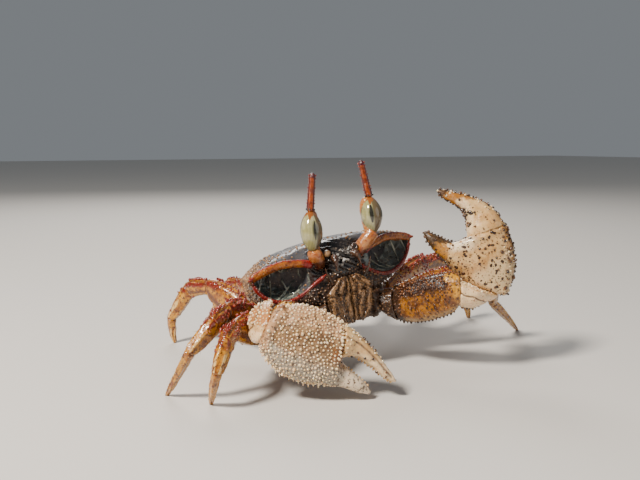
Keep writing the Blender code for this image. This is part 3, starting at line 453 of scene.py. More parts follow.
def scattered(tree, given, most):
    """Points spread evenly over the surface, as thick as a painted value allows."""
    where = node(tree, "GeometryNodeInputNamedAttribute", {"Name": given["Where"]}, data_type="FLOAT")
    return node(tree, "GeometryNodeDistributePointsOnFaces", {
        "Mesh": given["Geometry"], "Distance Min": given["Spacing"], "Density Max": most,
        "Density Factor": where, "Seed": given["Seed"],
    }, distribute_method="POISSON")


def planted(tree, given, points, shape, turn, wide, tall, smooth=True):
    """One shape stood on each point, made real and given its finish."""
    put = node(tree, "GeometryNodeInstanceOnPoints", {
        "Points": points, "Instance": shape, "Rotation": turn,
        "Scale": node(tree, "ShaderNodeCombineXYZ", {"X": wide, "Y": wide, "Z": tall}),
    })
    real = node(tree, "GeometryNodeRealizeInstances", {"Geometry": put})
    if smooth:
        real = node(tree, "GeometryNodeSetShadeSmooth", {"Geometry": real})
    return node(tree, "GeometryNodeSetMaterial", {"Geometry": real, "Material": given["Finish"]})


def end_joined(tree, given, grown):
    """The surface itself and what grows on it, out of the tree together."""
    both = node(tree, "GeometryNodeJoinGeometry", {"Geometry": [given["Geometry"], grown]})
    node(tree, "NodeGroupOutput", {0: both})


def grow(piece, tree, **values):
    """Run a geometry tree on a piece, with its named inputs set, and keep the plain mesh."""
    change = piece.modifiers.new(tree.name, "NODES")
    change.node_group = tree
    for item in tree.interface.items_tree:
        key = item.name.lower()
        if item.in_out == "INPUT" and key in values:
            change[item.identifier] = values[key]
    return settle(piece)


granule_tree, given = geometry_tree("granules_on_surface", [
    ("Spacing", "Float", 0.0012), ("Radius", "Float", 0.0004), ("Spread", "Float", 0.35),
    ("Stretch", "Float", 1.0), ("Where", "String", "granules"),
])
points = scattered(granule_tree, given, 1.2e7)
bead = node(granule_tree, "GeometryNodeMeshUVSphere", {"Segments": 7, "Rings": 5, "Radius": given["Radius"]})
size = node(granule_tree, "FunctionNodeRandomValue", {
    "Min": sums(granule_tree, "SUBTRACT", 1, given["Spread"]),
    "Max": sums(granule_tree, "ADD", 1, given["Spread"]), "Seed": given["Seed"],
}, data_type="FLOAT")
tall = sums(granule_tree, "MULTIPLY", size, given["Stretch"])
beads = planted(granule_tree, given, points, bead, points.outputs["Rotation"], size, tall)
end_joined(granule_tree, given, beads)


def granules(piece, where, spacing, radius, spread, seed, finish, stretch=1.0):
    """Round beads over a piece where a value is painted."""
    grow(piece, granule_tree, where=where, spacing=spacing * MM, radius=radius * MM, spread=spread,
         seed=seed, finish=finish, stretch=stretch)


def cloud_in(group, given, detail):
    """Noise over the piece's own coordinates, at the group's Scale."""
    where = node(group, "ShaderNodeTexCoord").outputs["Object"]
    return node(group, "ShaderNodeTexNoise", {
        "Detail": detail, "Roughness": 0.62, "Vector": where, "Scale": given["Scale"],
    }).outputs["Fac"]


def ramp_in(group, value, low, high):
    """Soft step from 0 to 1 between two values."""
    return node(group, "ShaderNodeMapRange", {"Value": value, "From Min": low, "From Max": high},
                interpolation_type="SMOOTHSTEP")


def mix_in(tree, factor, first, second):
    """Mix of two colours."""
    return node(tree, "ShaderNodeMix", {0: factor, 6: first, 7: second}, data_type="RGBA")


# Four effects that the finishes share: soft patches of pigment, a painted value with a ragged
# edge, small round specks as pigment cells or sand grains show, and a shell's fine grain.
mottle, given = new_group("ShaderNodeTree", "pigment_mottle", [
    ("Ground", "Color"), ("Patch", "Color"), ("Scale", "Float", 300.0), ("Low", "Float", 0.42),
    ("High", "Float", 0.62),
], "Colour", "Color")
mask = ramp_in(mottle, cloud_in(mottle, given, 6), given["Low"], given["High"])
node(mottle, "NodeGroupOutput", {0: mix_in(mottle, mask, given["Ground"], given["Patch"])})

worn, given = new_group("ShaderNodeTree", "ragged_edge", [
    ("Value", "Float", 0.0), ("Ragged", "Float", 0.4), ("Scale", "Float", 600.0),
], "Mask", "Float")
centred = sums(worn, "SUBTRACT", cloud_in(worn, given, 4), 0.5)
spread = sums(worn, "MULTIPLY_ADD", centred, given["Ragged"], given["Value"])
node(worn, "NodeGroupOutput", {0: ramp_in(worn, spread, 0.28, 0.72)})

specks, given = new_group("ShaderNodeTree", "specks", [
    ("Ground", "Color"), ("Speck", "Color"), ("Scale", "Float", 900.0), ("Reach", "Float", 0.3),
    ("Share", "Float", 0.5),
], "Colour", "Color")
where = node(specks, "ShaderNodeTexCoord").outputs["Object"]
clouds = node(specks, "ShaderNodeTexNoise", {"Vector": where, "Scale": given["Scale"], "Detail": 3})
shift = node(specks, "ShaderNodeVectorMath", {
    0: clouds.outputs["Color"], "Scale": sums(specks, "DIVIDE", 1.1, given["Scale"]),
}, operation="SCALE")
bent = node(specks, "ShaderNodeVectorMath", {0: where, 1: shift}, operation="ADD")
cells = node(specks, "ShaderNodeTexVoronoi", {"Vector": bent, "Scale": given["Scale"]})
round_mask = ramp_in(specks, sums(specks, "SUBTRACT", given["Reach"], cells), 0.0, 0.12)
apart = node(specks, "ShaderNodeSeparateColor", {0: cells.outputs["Color"]})
mask = sums(specks, "MULTIPLY", round_mask, sums(specks, "LESS_THAN", apart, given["Share"]))
node(specks, "NodeGroupOutput", {0: mix_in(specks, mask, given["Ground"], given["Speck"])})

grain, given = new_group("ShaderNodeTree", "shell_grain", [
    ("Scale", "Float", 1500.0), ("Pimples", "Float", 0.5),
], "Height", "Float")
where = node(grain, "ShaderNodeTexCoord").outputs["Object"]
cells = node(grain, "ShaderNodeTexVoronoi", {"Vector": where, "Scale": given["Scale"]}, feature="SMOOTH_F1")
height = node(grain, "ShaderNodeMix", {
    0: given["Pimples"], 2: cloud_in(grain, given, 8), 3: sums(grain, "SUBTRACT", 1, cells),
}, data_type="FLOAT")
node(grain, "NodeGroupOutput", {0: height})


def effect(tree, group, **values):
    """A shared effect placed in a finish, with its own colours and numbers."""
    return node(tree, "ShaderNodeGroup", {key.title(): given for key, given in values.items()},
                node_tree=group)


def painted(tree, name):
    """The value painted on a piece under a name."""
    return node(tree, "ShaderNodeAttribute", attribute_name=name).outputs["Fac"]


def colour_over(material, mask, tint):
    """One more colour over a finish, where a mask allows."""
    shader = material.node_tree.nodes["Principled BSDF"]
    under = shader.inputs["Base Color"].links[0].from_socket
    feed(shader, {"Base Color": mix_in(material.node_tree, mask, under, tint)})


def finish(name, ground, patch, scale, gloss, bump=(1800, 0.5, 0.25), layers=(), dots=(), fleck=None,
           coat=0.0, soft=0.0, glow=(1.0, 0.35, 0.12), wet=None):
    """A shell finish: mottled pigment, painted layers over it, specks, varied gloss and grain."""
    made = bpy.data.materials.new(name)
    made.use_nodes = True
    tree = made.node_tree
    shader = tree.nodes["Principled BSDF"]
    colour = effect(tree, mottle, ground=ground, patch=patch, scale=scale)
    for label, tint, ragged, size in layers:
        mask = effect(tree, worn, value=painted(tree, label), scale=size, ragged=ragged)
        colour = mix_in(tree, mask, colour, tint)
    if fleck:
        tint, size, low, high = fleck
        colour = effect(tree, mottle, ground=colour, patch=tint, scale=size, low=low, high=high)
    for tint, size, reach, share in dots:
        colour = effect(tree, specks, ground=colour, speck=tint, scale=size, reach=reach, share=share)
    rough = effect(tree, mottle, ground=gloss[:1] * 3, patch=gloss[1:] * 3, scale=scale * 3)
    if wet:
        rough = mix_in(tree, painted(tree, wet), rough, (0.06, 0.06, 0.06))
    height = effect(tree, grain, scale=bump[0], pimples=bump[1])
    raised = node(tree, "ShaderNodeBump", {"Distance": 0.0004, "Strength": bump[2], "Height": height})
    feed(shader, {"Base Color": colour, "Roughness": rough, "Normal": raised, "Coat Weight": coat})
    if soft:
        feed(shader, {"Subsurface Weight": soft, "Subsurface Radius": glow, "Subsurface Scale": 0.0012})
    return made


shell_finish = finish(
    "carapace_shell", (0.052, 0.054, 0.066), (0.088, 0.083, 0.084), 160, (0.27, 0.44), (2200, 0.35, 0.3),
    layers=[
        # The below layer also lies on the sockets' inner end walls as painted shade.
        ("outer", (0.125, 0.046, 0.010), 1.0, 700), ("below", (0.030, 0.013, 0.007), 0.7, 600),
        ("brow", (0.012, 0.009, 0.009), 0.3, 500), ("socket", (0.066, 0.082, 0.073), 0.1, 500),
        # The pale grey-green layer that lightens the left socket is painted light.
        ("silver", (0.175, 0.205, 0.205), 1.2, 350), ("lining", (0.30, 0.075, 0.008), 0.5, 500),
    ],
    fleck=((0.14, 0.11, 0.085), 1100, 0.54, 0.68), coat=0.25, wet="wet",
    dots=[((0.55, 0.43, 0.30), 1300, 0.27, 0.22), ((0.006, 0.005, 0.005), 900, 0.25, 0.3)],
)
# Pale crack lines run over the lining of the sockets; they are partly painted highlights,
# standing for glints on the wet lining.
tree = shell_finish.node_tree
where = node(tree, "ShaderNodeTexCoord").outputs["Object"]
cells = node(tree, "ShaderNodeTexVoronoi", {"Vector": where, "Scale": 270}, feature="DISTANCE_TO_EDGE")
line = node(tree, "ShaderNodeMapRange", {
    "Value": cells, "From Min": 0.035, "From Max": 0.0, "To Max": 0.75,
})
colour_over(shell_finish, sums(tree, "MULTIPLY", line, painted(tree, "socket")), (0.40, 0.42, 0.34))
granule_finish = finish(
    "carapace_granules", (0.33, 0.165, 0.060), (0.10, 0.045, 0.020), 450, (0.2, 0.36), (3000, 0.3, 0.2),
    coat=0.5,
)
cheek_granules = finish(
    "cheek_granules", (0.075, 0.030, 0.014), (0.20, 0.105, 0.045), 380, (0.18, 0.34), (3000, 0.3, 0.2),
    coat=0.6,
)


def wear(piece, slot, *nodes):
    """A finished piece rides with the crab and stands for its solid; its slot is not used."""
    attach(piece, "root")
    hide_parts(*nodes)


carapace.data.materials.append(shell_finish)
granules(carapace, "granules", 1.05, 0.35, 0.45, 3, granule_finish)
granules(carapace, "cheeks", 1.10, 0.36, 0.4, 13, cheek_granules)
wear(carapace, "shell", "carapace")


# Socket rims: the upper edge of each eye socket is a folded orange band with a row of crimson
# beads, the lower one a thin crimson beaded cord, and blunt teeth run back down the shell's side.
BROW_FOLD = [(9.3, 6.9, -0.6), (10.8, 7.0, 0.1), (12.4, 7.3, 0.7), (15, 8.0, 1.2), (19.1, 8.5, 1.8),
             (23, 9.1, 1.3), (27, 9.8, 0.3), (29.4, 10.2, -0.8)]
SILL_CORD = [(28.9, 10.2, -2.4), (27.6, 10.1, -5.2), (25.4, 9.9, -7.8), (22.5, 9.4, -9.4),
             (18.5, 8.8, -10.2), (14, 8.0, -9.2), (9.6, 6.8, -6.7), (6.8, 4.8, -4.7)]
FLANK = [(29.6, 10.6, -0.4), (29.2, 14, -0.8), (28.6, 16.5, -1.2), (26.8, 24, -2.4), (24.4, 31.5, -3.9)]
CORNER_TOOTH = [(27.8, 9.9, -0.2), (28.9, 9.9, -0.6), (29.7, 9.6, -0.8), (30.3, 9.1, -0.8)]
SOCKET_RIBS = [
    [(13.0, -7.6), (16.0, -8.4), (19.0, -8.5)], [(12.4, -6.2), (14.6, -6.6), (17.4, -7.3)],
    [(15.2, -4.6), (17.2, -5.6), (20.4, -7.0)], [(18.2, -3.4), (19.4, -5.0), (21.8, -7.4)],
    [(21.4, -2.6), (22.0, -4.4), (23.6, -6.2)], [(12.6, -4.4), (13.6, -3.0), (13.4, -1.4)],
    [(24.2, -2.2), (24.4, -3.6), (25.4, -4.8)], [(16.4, -1.8), (18.0, -2.6), (20.2, -2.6)],
]
rim_finish = finish(
    "socket_rim", (0.40, 0.120, 0.009), (0.22, 0.045, 0.005), 500, (0.2, 0.36), (2400, 0.4, 0.35),
    layers=[("crimson", (0.22, 0.010, 0.008), 0.5, 500)], fleck=((0.075, 0.014, 0.003), 1100, 0.52, 0.64),
    dots=[((0.50, 0.30, 0.13), 1300, 0.26, 0.2)], coat=0.3, soft=0.2,
)
crimson_finish = finish(
    "crimson_beads", (0.16, 0.008, 0.006), (0.34, 0.045, 0.012), 700, (0.16, 0.3), (3000, 0.3, 0.15),
    coat=0.6,
)
# The ribs' pale colour is a painted highlight, standing for glints on the wet socket lining.
rib_glint_finish = finish(
    "socket_ribs_painted_glints", (0.34, 0.35, 0.28), (0.040, 0.050, 0.044), 520, (0.05, 0.12), (2400, 0.3, 0.1), coat=1.0,
)


def unit(vector):
    vector = np.asarray(vector, float)
    return vector / np.linalg.norm(vector)


def plain(vector):
    """A vector as a tree's input takes it."""
    return tuple(float(v) for v in vector)


def heading(x, y, z):
    """A way of the body frame, as it points in the stance."""
    return body_turn @ np.array([x, y, z], float)


def oval(centre, across, up, half_across, half_up, count=24, square=2.0):
    """A ring of points; square above 2 fills out its corners."""
    angle = np.linspace(0, 2 * np.pi, count, endpoint=False)
    c, s = np.cos(angle), np.sin(angle)
    a = np.sign(c) * np.abs(c) ** (2 / square)
    b = np.sign(s) * np.abs(s) ** (2 / square)
    return np.asarray(centre) + np.outer(a * half_across, across) + np.outer(b * half_up, up)


def loft(name, rings, finish=None):
    """A closed skin over rings of equal count."""
    count, last = len(rings[0]), len(rings[0]) * (len(rings) - 1)
    faces = grid_faces(len(rings), count, True)
    faces += [tuple(reversed(range(count))), tuple(range(last, last + count))]
    return add_piece(name, np.vstack(rings), faces, finish)


def round_ends(length, reach=3):
    """How a tube's radius falls away at its two ends."""
    t = np.arange(length)
    near = np.minimum(t, length - 1 - t)
    return np.sqrt(np.clip(1 - (1 - np.clip((near + 0.25) / reach, 0, 1)) ** 2, 0.02, 1))


def tube(name, path, radius, guide, finish, count=16, flat=1.0, ends=None):
    """Round rings down a path, kept from twisting by the guide, rounded off over so many at its ends."""
    path = np.asarray(path, float)
    radius = radius * round_ends(len(path), ends) if ends else np.broadcast_to(radius, len(path))
    rings = []
    for point, way, wide in zip(path, np.gradient(path, axis=0), radius):
        way = unit(way)
        across = unit(np.asarray(guide, float) - way * np.dot(guide, way))
        rings.append(oval(point, across, np.cross(across, way), wide, wide * flat, count))
    return loft(name, rings, finish)


bead_line, given = geometry_tree("beads_along_line", [
    ("Spacing", "Float", 0.001), ("Radius", "Float", 0.0004), ("Spread", "Float", 0.2),
    ("Height", "Float", 1.0), ("Way", "Vector", (0, 0, 1)), ("Pointed", "Bool", False),
])
curve = node(bead_line, "GeometryNodeMeshToCurve", {"Mesh": given["Geometry"]})
points = node(bead_line, "GeometryNodeCurveToPoints", {"Curve": curve, "Length": given["Spacing"]},
              mode="LENGTH")
bead = node(bead_line, "GeometryNodeMeshUVSphere", {"Segments": 8, "Rings": 6, "Radius": 1})
spine = node(bead_line, "GeometryNodeMeshCone", {
    "Vertices": 8, "Side Segments": 3, "Radius Top": 0.16, "Radius Bottom": 1, "Depth": 2,
})
shape = node(bead_line, "GeometryNodeSwitch", {
    "Switch": given["Pointed"], "False": bead, "True": spine,
}, input_type="GEOMETRY")
size = node(bead_line, "FunctionNodeRandomValue", {
    "Min": sums(bead_line, "SUBTRACT", 1, given["Spread"]), "Max": 1.1, "Seed": given["Seed"],
}, data_type="FLOAT")
wide = sums(bead_line, "MULTIPLY", size, given["Radius"])
tall = sums(bead_line, "MULTIPLY", wide, given["Height"])
turn = node(bead_line, "FunctionNodeAlignRotationToVector", {"Vector": given["Way"]}, axis="Z")
node(bead_line, "NodeGroupOutput", {0: planted(bead_line, given, points, shape, turn, wide, tall)})


def bead_row(line, spacing, radius, way, finish, seed, spread=0.4, height=1.2, pointed=False):
    """Beads or spines set along a line, evenly spaced and a little uneven in size."""
    mesh = bpy.data.meshes.new("beads")
    mesh.from_pydata(in_metres(line).tolist(), [(i, i + 1) for i in range(len(line) - 1)], [])
    row = bpy.data.objects.new("beads", mesh)
    in_room(row)
    return grow(row, bead_line, spacing=spacing * MM, radius=radius * MM, way=plain(unit(way)),
                finish=finish, seed=seed, spread=spread, height=height, pointed=pointed)


def join(piece, others):
    """Lay other meshes into a piece, each keeping its finish."""
    for other in others:
        keep = []
        for material in other.data.materials:
            found = piece.data.materials.find(material.name) if material else 0
            if found < 0:
                piece.data.materials.append(material)
                found = len(piece.data.materials) - 1
            keep.append(found)
        start = len(piece.data.polygons)
        both = bmesh.new()
        both.from_mesh(piece.data)
        both.from_mesh(other.data)
        both.faces.ensure_lookup_table()
        for face in both.faces[start:] if keep else []:
            face.material_index = keep[min(face.material_index, len(keep) - 1)]
        both.to_mesh(piece.data)
        both.free()
        bpy.data.objects.remove(other, do_unlink=True)
    piece.data.update()
    return piece


def snap(piece, points):
    """The nearest places on a piece's skin to the given stance points."""
    found = [piece.closest_point_on_mesh(Vector(point))[1] for point in in_metres(points)]
    return np.array([np.array(spot) * PER_METRE + STANCE_MIDDLE for spot in found])


for side, label in SIDES:
    fold = on_floor(mirrored(smooth_line(BROW_FOLD, 12), side))
    band = tube("rim_upper_" + label, fold - heading(0, 0.1, 0.3), 1.25, (0, 0, 1), rim_finish, 18, 0.55, 8)
    low = on_floor(mirrored(smooth_line(SILL_CORD, 12), side))
    top_edge = ease(0.1, 0.8, normals_of(band) @ body_turn[:, 2])
    inner_end = ease(15, 10.5, np.abs(in_body(spots_of(band))[:, 0]))
    paint(band, crimson=np.maximum(inner_end, 0.75 * top_edge))
    cord = tube("cord", low, 0.68, (0, 0, 1), rim_finish, 14, 0.8, 6)
    paint(cord, crimson=1)
    teeth = on_floor(mirrored(smooth_line(FLANK, 10), side))
    rows = [
        cord,
        bead_row(fold + heading(0, 0.1, 0.75), 0.95, 0.36, heading(0, -0.6, 0.8), crimson_finish, 5,
                 0.35, 1.35),
        bead_row(low + heading(0, -0.35, 0.3), 0.95, 0.35, heading(0, -1, 0), crimson_finish, 6, 0.35, 1.3),
        bead_row(teeth, 1.05, 0.5, heading(side, -0.4, 0.3), granule_finish, 7, 0.35, 1.3),
    ]
    # A blunt tooth stands at the socket's outer corner.
    corner = on_floor(mirrored(smooth_line(CORNER_TOOTH, 5), side))
    taper = np.linspace(1, 0.15, len(corner)) ** 0.7
    corner = tube("tooth", corner, 0.95 * taper, (0, 0, 1), rim_finish, 14, 0.8)
    paint(corner, crimson=0.55)
    rows.append(corner)
    for rib in SOCKET_RIBS:
        line = snap(carapace, on_floor(mirrored(smooth_line([(x, 10.5, z) for x, z in rib], 7), side)))
        rows.append(tube("rib", line, 0.30, (0, 1, 0.1), rib_glint_finish, 8, ends=4))
    join(band, rows)
    wear(band, "shell", "carapace")


# Brow and feelers: a narrow blunt brow with a knob and a sunk ring hangs between the eyestalks,
# over short curled folds of wet black skin whose pale patches are painted highlights, and beside
# it lie the folded inner feelers and the short outer ones, brown, jointed and glassy.
ANTENNULE = [(3.4, 3.5, 0.4), (3.5, 2.9, 0.3), (3.7, 2.0, 0.0), (4.0, 1.2, -0.8), (4.2, 1.0, -2.4),
             (4.3, 1.1, -4.0)]
ANTENNULE_GIRTH = [0.9, 1.15, 1.1, 0.8, 0.45, 0.3]
ANTENNA = [(6.2, 3.3, -6.6), (6.4, 2.6, -6.4), (6.9, 1.9, -5.6), (7.4, 1.5, -4.4), (7.9, 1.2, -3.0),
           (8.2, 1.0, -1.8)]
ANTENNA_GIRTH = [0.7, 0.65, 0.45, 0.32, 0.24, 0.18]
KNOB_PLACE = (4.9, 4.4, 1.9)
BROW_CURLS = [
    [(-3.7, 2.2), (-3.4, 1.2), (-2.7, 0.8), (-2.2, 1.4), (-2.3, 2.2)],
    [(-1.6, 2.6), (-1.5, 1.6), (-0.8, 1.2)],
    [(-0.9, 2.4), (-0.1, 1.8), (0.2, 0.9), (1.0, 0.6)], [(0.2, 2.8), (1.0, 2.0), (1.6, 1.1), (2.6, 0.6)],
    [(-3.4, -0.2), (-2.2, -0.7), (-0.8, -0.5)], [(-0.2, -0.9), (1.2, -0.6), (2.4, -1.0)],
    [(-2.8, -1.8), (-1.2, -2.1), (0.4, -1.8)], [(2.2, 2.6), (3.0, 2.0), (3.4, 1.2)],
]
feeler_finish = finish(
    "feelers", (0.062, 0.024, 0.009), (0.026, 0.010, 0.005), 700, (0.16, 0.3), (2600, 0.3, 0.25), coat=0.6,
    soft=0.15,
)
knob_finish = finish(
    "brow_knob", (0.30, 0.165, 0.075), (0.19, 0.09, 0.035), 500, (0.16, 0.3), (2400, 0.4, 0.25), coat=0.5,
    soft=0.2,
)
# The folds' pale patches are painted highlights, standing for glints on wet black skin.
fold_glint_finish = finish(
    "brow_folds_painted_glints", (0.034, 0.029, 0.028), (0.58, 0.54, 0.49), 800, (0.04, 0.1), (2400, 0.3, 0.1), coat=1.0,
)


def feeler(name, points, girth, joints, side, node_name):
    """A jointed feeler: each joint is a swelling with a waist behind it."""
    rows = smooth_line(np.column_stack([mirrored(points, side), girth]), 10)
    beat = np.abs(np.sin(np.linspace(0, np.pi * joints, len(rows))))
    girth = rows[:, 3] * (0.80 + 0.26 * beat ** 0.5)
    piece = tube(name, on_floor(rows[:, :3]), girth, (0.2, 0.3, 1), feeler_finish, ends=4)
    wear(piece, "mouth", node_name)


def brow_knob(side):
    """A smooth round knob on one side of the brow, a sunk one with a rim on the other."""
    middle = np.array(KNOB_PLACE) * [side, 1, 1]
    if side > 0:
        turn = np.linspace(0, 2 * np.pi, 25)
        ring = middle + np.column_stack([0.85 * np.cos(turn), -0.3 + 0 * turn, 0.85 * np.sin(turn)])
        piece = tube("brow_ring", on_floor(ring), 0.42, (0, 1, 0.2), feeler_finish, 12)
        path = on_floor(middle + np.outer(np.linspace(-0.5, 0.8, 9), [0, 1.0, 0.2]))
        join(piece, [tube("pit", path, 0.6, (1, 0, 0), feeler_finish, ends=3)])
    else:
        path = on_floor(middle + np.outer(np.linspace(-1.15, 1.15, 19), [0, 0, 1.0]))
        piece = tube("brow_knob", path, 1.15, (1, 0, 0), knob_finish, 24, ends=9)
    wear(piece, "shell", "carapace")


for side, label in SIDES:
    brow_knob(side)
    feeler("feeler_inner_" + label, ANTENNULE, ANTENNULE_GIRTH, 6, side, "antennule_" + label)
    feeler("feeler_outer_" + label, ANTENNA, ANTENNA_GIRTH, 9, side, "antenna_" + label)
curls = []
for curl in BROW_CURLS:
    line = snap(carapace, on_floor([(x, 2.6, z) for x, z in smooth_line(curl, 7)]))
    curls.append(tube("brow_folds_painted_glints", line, 0.42, (0, 1, 0.1), fold_glint_finish, 10, ends=4))
wear(join(curls[0], curls[1:]), "shell", "carapace")


# Mouth plates: two long hinged plates close the mouth like a pair of doors. They are hard,
# brown, ridged along their length and fringed with short pale hairs.
MOUTH_ROWS = [(-6.4, 1.5, 0.8), (-7.4, 2.2, 1.5), (-10.5, 3.8, 2.0), (-11.6, 3.6, 1.5), (-12.6, 3.8, 2.1),
              (-17.5, 3.3, 2.1), (-20.2, 2.4, 1.6), (-21.2, 1.3, 0.9)]
MOUTH_WALL = [(-22.5, 6.0), (-15.0, 5.5), (-14.7, 5.4), (-9.0, 4.2), (-4.4, 3.7)]
MOUTH_SLIT = 0.3
PLATE_FOLDS = 2.6
RING_POINTS = 72
HAIR_GIRTH = 0.05
HAIR_STRAY = 0.22
mouth_finish = finish(
    "mouth_plates", (0.120, 0.048, 0.014), (0.045, 0.017, 0.005), 450, (0.2, 0.42), (2000, 0.5, 0.6),
    layers=[("ridge", (0.30, 0.160, 0.070), 1.2, 800)], fleck=((0.014, 0.005, 0.002), 1000, 0.52, 0.62),
    dots=[((0.40, 0.25, 0.12), 1300, 0.26, 0.3)], coat=0.45,
)
hair_finish = finish(
    "short_hairs", (0.30, 0.165, 0.065), (0.13, 0.06, 0.02), 900, (0.4, 0.6), (3000, 0.3, 0.1),
)
plate_granules = finish(
    "mouth_granules", (0.24, 0.115, 0.04), (0.07, 0.026, 0.009), 420, (0.18, 0.34), (3000, 0.3, 0.2),
    coat=0.5,
)
hair_tree, given = geometry_tree("hairs_on_surface", [
    ("Spacing", "Float", 0.0008), ("Length", "Float", 0.002), ("Girth", "Float", 0.00006),
    ("Lie", "Vector", (0, 0, -1)), ("Lean", "Float", 0.5), ("Where", "String", "hairy"),
])
points = scattered(hair_tree, given, 6e6)
hair = node(hair_tree, "GeometryNodeMeshCone", {
    "Vertices": 4, "Radius Top": 0.15, "Radius Bottom": 1, "Depth": 1,
}, fill_type="NONE")
lean = node(hair_tree, "ShaderNodeVectorMath", {0: given["Lie"], "Scale": given["Lean"]}, operation="SCALE")
stray = node(hair_tree, "FunctionNodeRandomValue", {0: (-HAIR_STRAY,) * 3, 1: (HAIR_STRAY,) * 3},
             data_type="FLOAT_VECTOR")
out = node(hair_tree, "ShaderNodeVectorMath", {0: points.outputs["Normal"], 1: lean}, operation="ADD")
way = node(hair_tree, "ShaderNodeVectorMath", {0: out, 1: stray}, operation="ADD")
turn = node(hair_tree, "FunctionNodeAlignRotationToVector", {"Vector": way}, axis="Z")
size = node(hair_tree, "FunctionNodeRandomValue", {"Min": 0.6, "Max": 1.15}, data_type="FLOAT")
tall = sums(hair_tree, "MULTIPLY", size, given["Length"])
end_joined(hair_tree, given, planted(hair_tree, given, points, hair, turn, given["Girth"], tall, False))


def hairs(piece, spacing, length, lie, lean, seed):
    """Thin tapered hairs over a piece where it is painted hairy, leaning with the lie."""
    grow(piece, hair_tree, spacing=spacing * MM, length=length * MM, girth=HAIR_GIRTH * MM,
         lie=plain(lie), lean=lean, seed=seed, finish=hair_finish)


for side, label in SIDES:
    rings, marks = [], []
    for level, half, thick in smooth_line(MOUTH_ROWS, 10):
        back = read_off(MOUTH_WALL, level) - 0.45
        centre = (MOUTH_SLIT + half, back - thick / 2, level)
        ring = oval(centre, (1, 0, 0), (0, 1, 0), half, thick / 2, RING_POINTS, 3.0)
        front = ring[:, 1] < back - thick / 2
        share = np.clip((ring[:, 0] - MOUTH_SLIT) / (2 * half), 0, 1)
        drift = np.column_stack([share * 2.2, np.full(RING_POINTS, level * 0.32), np.full(RING_POINTS, side)])
        drift = wrinkle(drift, 1.0, 4)
        fold = np.sin(2 * np.pi * PLATE_FOLDS * share ** 0.85 + 2.6 * drift)
        ring[:, 1] += front * (0.44 + 0.3 * drift) * (1 - fold) * min(1, half / 3)
        rings.append(on_floor(ring * [side, 1, 1]))
        marks.append(front * ease(-0.1, 0.85, fold))
    piece = loft("mouth_plate_" + label, rings, mouth_finish)
    ridge = np.zeros(len(piece.data.vertices))
    flat = np.concatenate(marks)
    ridge[: len(flat)] = flat[: len(ridge)]
    place = in_body(spots_of(piece))
    face = ease(0.2, 0.8, -(normals_of(piece) @ body_turn[:, 1]))
    half_here = read_off([(level, half) for level, half, _ in reversed(MOUTH_ROWS)], place[:, 2])
    share = (np.abs(place[:, 0]) - MOUTH_SLIT) / (2 * half_here)
    spots = spots_of(piece)
    push(piece, face * (0.3 * wrinkle(spots, 1.0, 3) + 0.2 * wrinkle(spots, 0.5, 8)))
    fringe = np.clip(ease(0.78, 0.97, share) + ease(0.2, 0.05, share), 0, 1)
    paint(piece, ridge=ridge, beads=0.8 * face, hairy=fringe * 0.8 + 0.35 * face)
    granules(piece, "beads", 0.8, 0.24, 0.5, 14, plate_granules)
    hairs(piece, 0.32, 1.1, heading(0, -0.3, -1), 1.1, 9)
    wear(piece, "mouth", "maxilliped_" + label)


# Underside: the breastplate is one broad plate of joined segments, with the narrow folded
# tail lying in its middle. It is tan, hard and finely grained.
BREAST_TOP = -13.9
BREAST_BASE = BREAST_TOP - 8.6
BREAST_LEVELS = [(BREAST_TOP, 0), (BREAST_TOP - 7.0, 0), (BREAST_TOP - 7.9, 0.04), (BREAST_BASE + 0.1, 0.14),
                 (BREAST_BASE, 0.24)]
TAIL_LEVELS = [(BREAST_BASE - 0.3, 0), (BREAST_BASE - 1.0, 0), (BREAST_BASE - 1.6, 0.1),
               (BREAST_BASE - 1.8, 0.3)]
BREAST_OUTLINE = [(0, 6.0), (7.2, 6.0), (9.4, 4.6), (15.2, 9.2), (18.7, 17.2), (19.0, 24.8), (16.4, 32.6),
                  (11.1, 38.2), (6, 40), (0, 40)]
TAIL_OUTLINE = [(0, 12.5), (1.6, 13), (2.6, 18), (3.6, 21), (6.2, 27), (6.6, 33), (5.0, 36), (0, 36.6)]
underside_finish = finish(
    "underside", (0.34, 0.235, 0.135), (0.22, 0.13, 0.07), 220, (0.35, 0.55), (1600, 0.5, 0.35),
    layers=[("seam", (0.07, 0.035, 0.018), 0.3, 900), ("front", (0.050, 0.022, 0.009), 0.8, 600)], coat=0.3,
)


def plate(name, outline, middle, levels, cuts, depth):
    """A plate with grooves between its segments; each level's outline is drawn in by a share."""
    half = np.array(outline, float)
    whole = smooth_line(np.vstack([half, (half * [-1, 1])[::-1][1:-1]]), 5, closed=True)
    rings = []
    for level, inset in levels:
        flat = whole * (1 - inset) + np.array([0, middle]) * inset
        rings.append(on_floor(np.column_stack([flat, np.full(len(flat), level)])))
    piece = loft(name, rings)
    knead(piece, 0.4, 2)
    place = in_body(spots_of(piece))
    seam = np.zeros(len(place))
    for cut, sweep in cuts:
        seam = np.maximum(seam, hump(place[:, 1] - cut - sweep * np.abs(place[:, 0]), 0.45))
    seam *= ease(0.1, 0.6, -(normals_of(piece) @ body_turn[:, 2]))
    push(piece, -depth * seam)
    paint(piece, seam=seam)
    piece.data.materials.append(underside_finish)
    return piece


breast = plate("breastplate", BREAST_OUTLINE, 22, BREAST_LEVELS,
               [(12, -0.15), (18, -0.02), (25, 0.1), (31, 0.3)], 0.45)
place = in_body(spots_of(breast))
front = ease(10.5, 7.0, place[:, 1])
curl = np.hypot(np.abs(place[:, 0]) - 14, place[:, 2] + 12)
push(breast, 0.35 * front * np.sin(curl * 2.4 + 1.5 * wrinkle(place, 3.0)))
paint(breast, front=front, cheeks=0.7 * front)
granules(breast, "cheeks", 1.0, 0.30, 0.4, 15, cheek_granules)
wear(breast, "underside", "sternum")
tail = plate("folded_tail", TAIL_OUTLINE, 25, TAIL_LEVELS, [(y, 0) for y in (16, 19, 22, 25.5, 29, 33)], 0.3)
wear(tail, "underside", "abdomen")


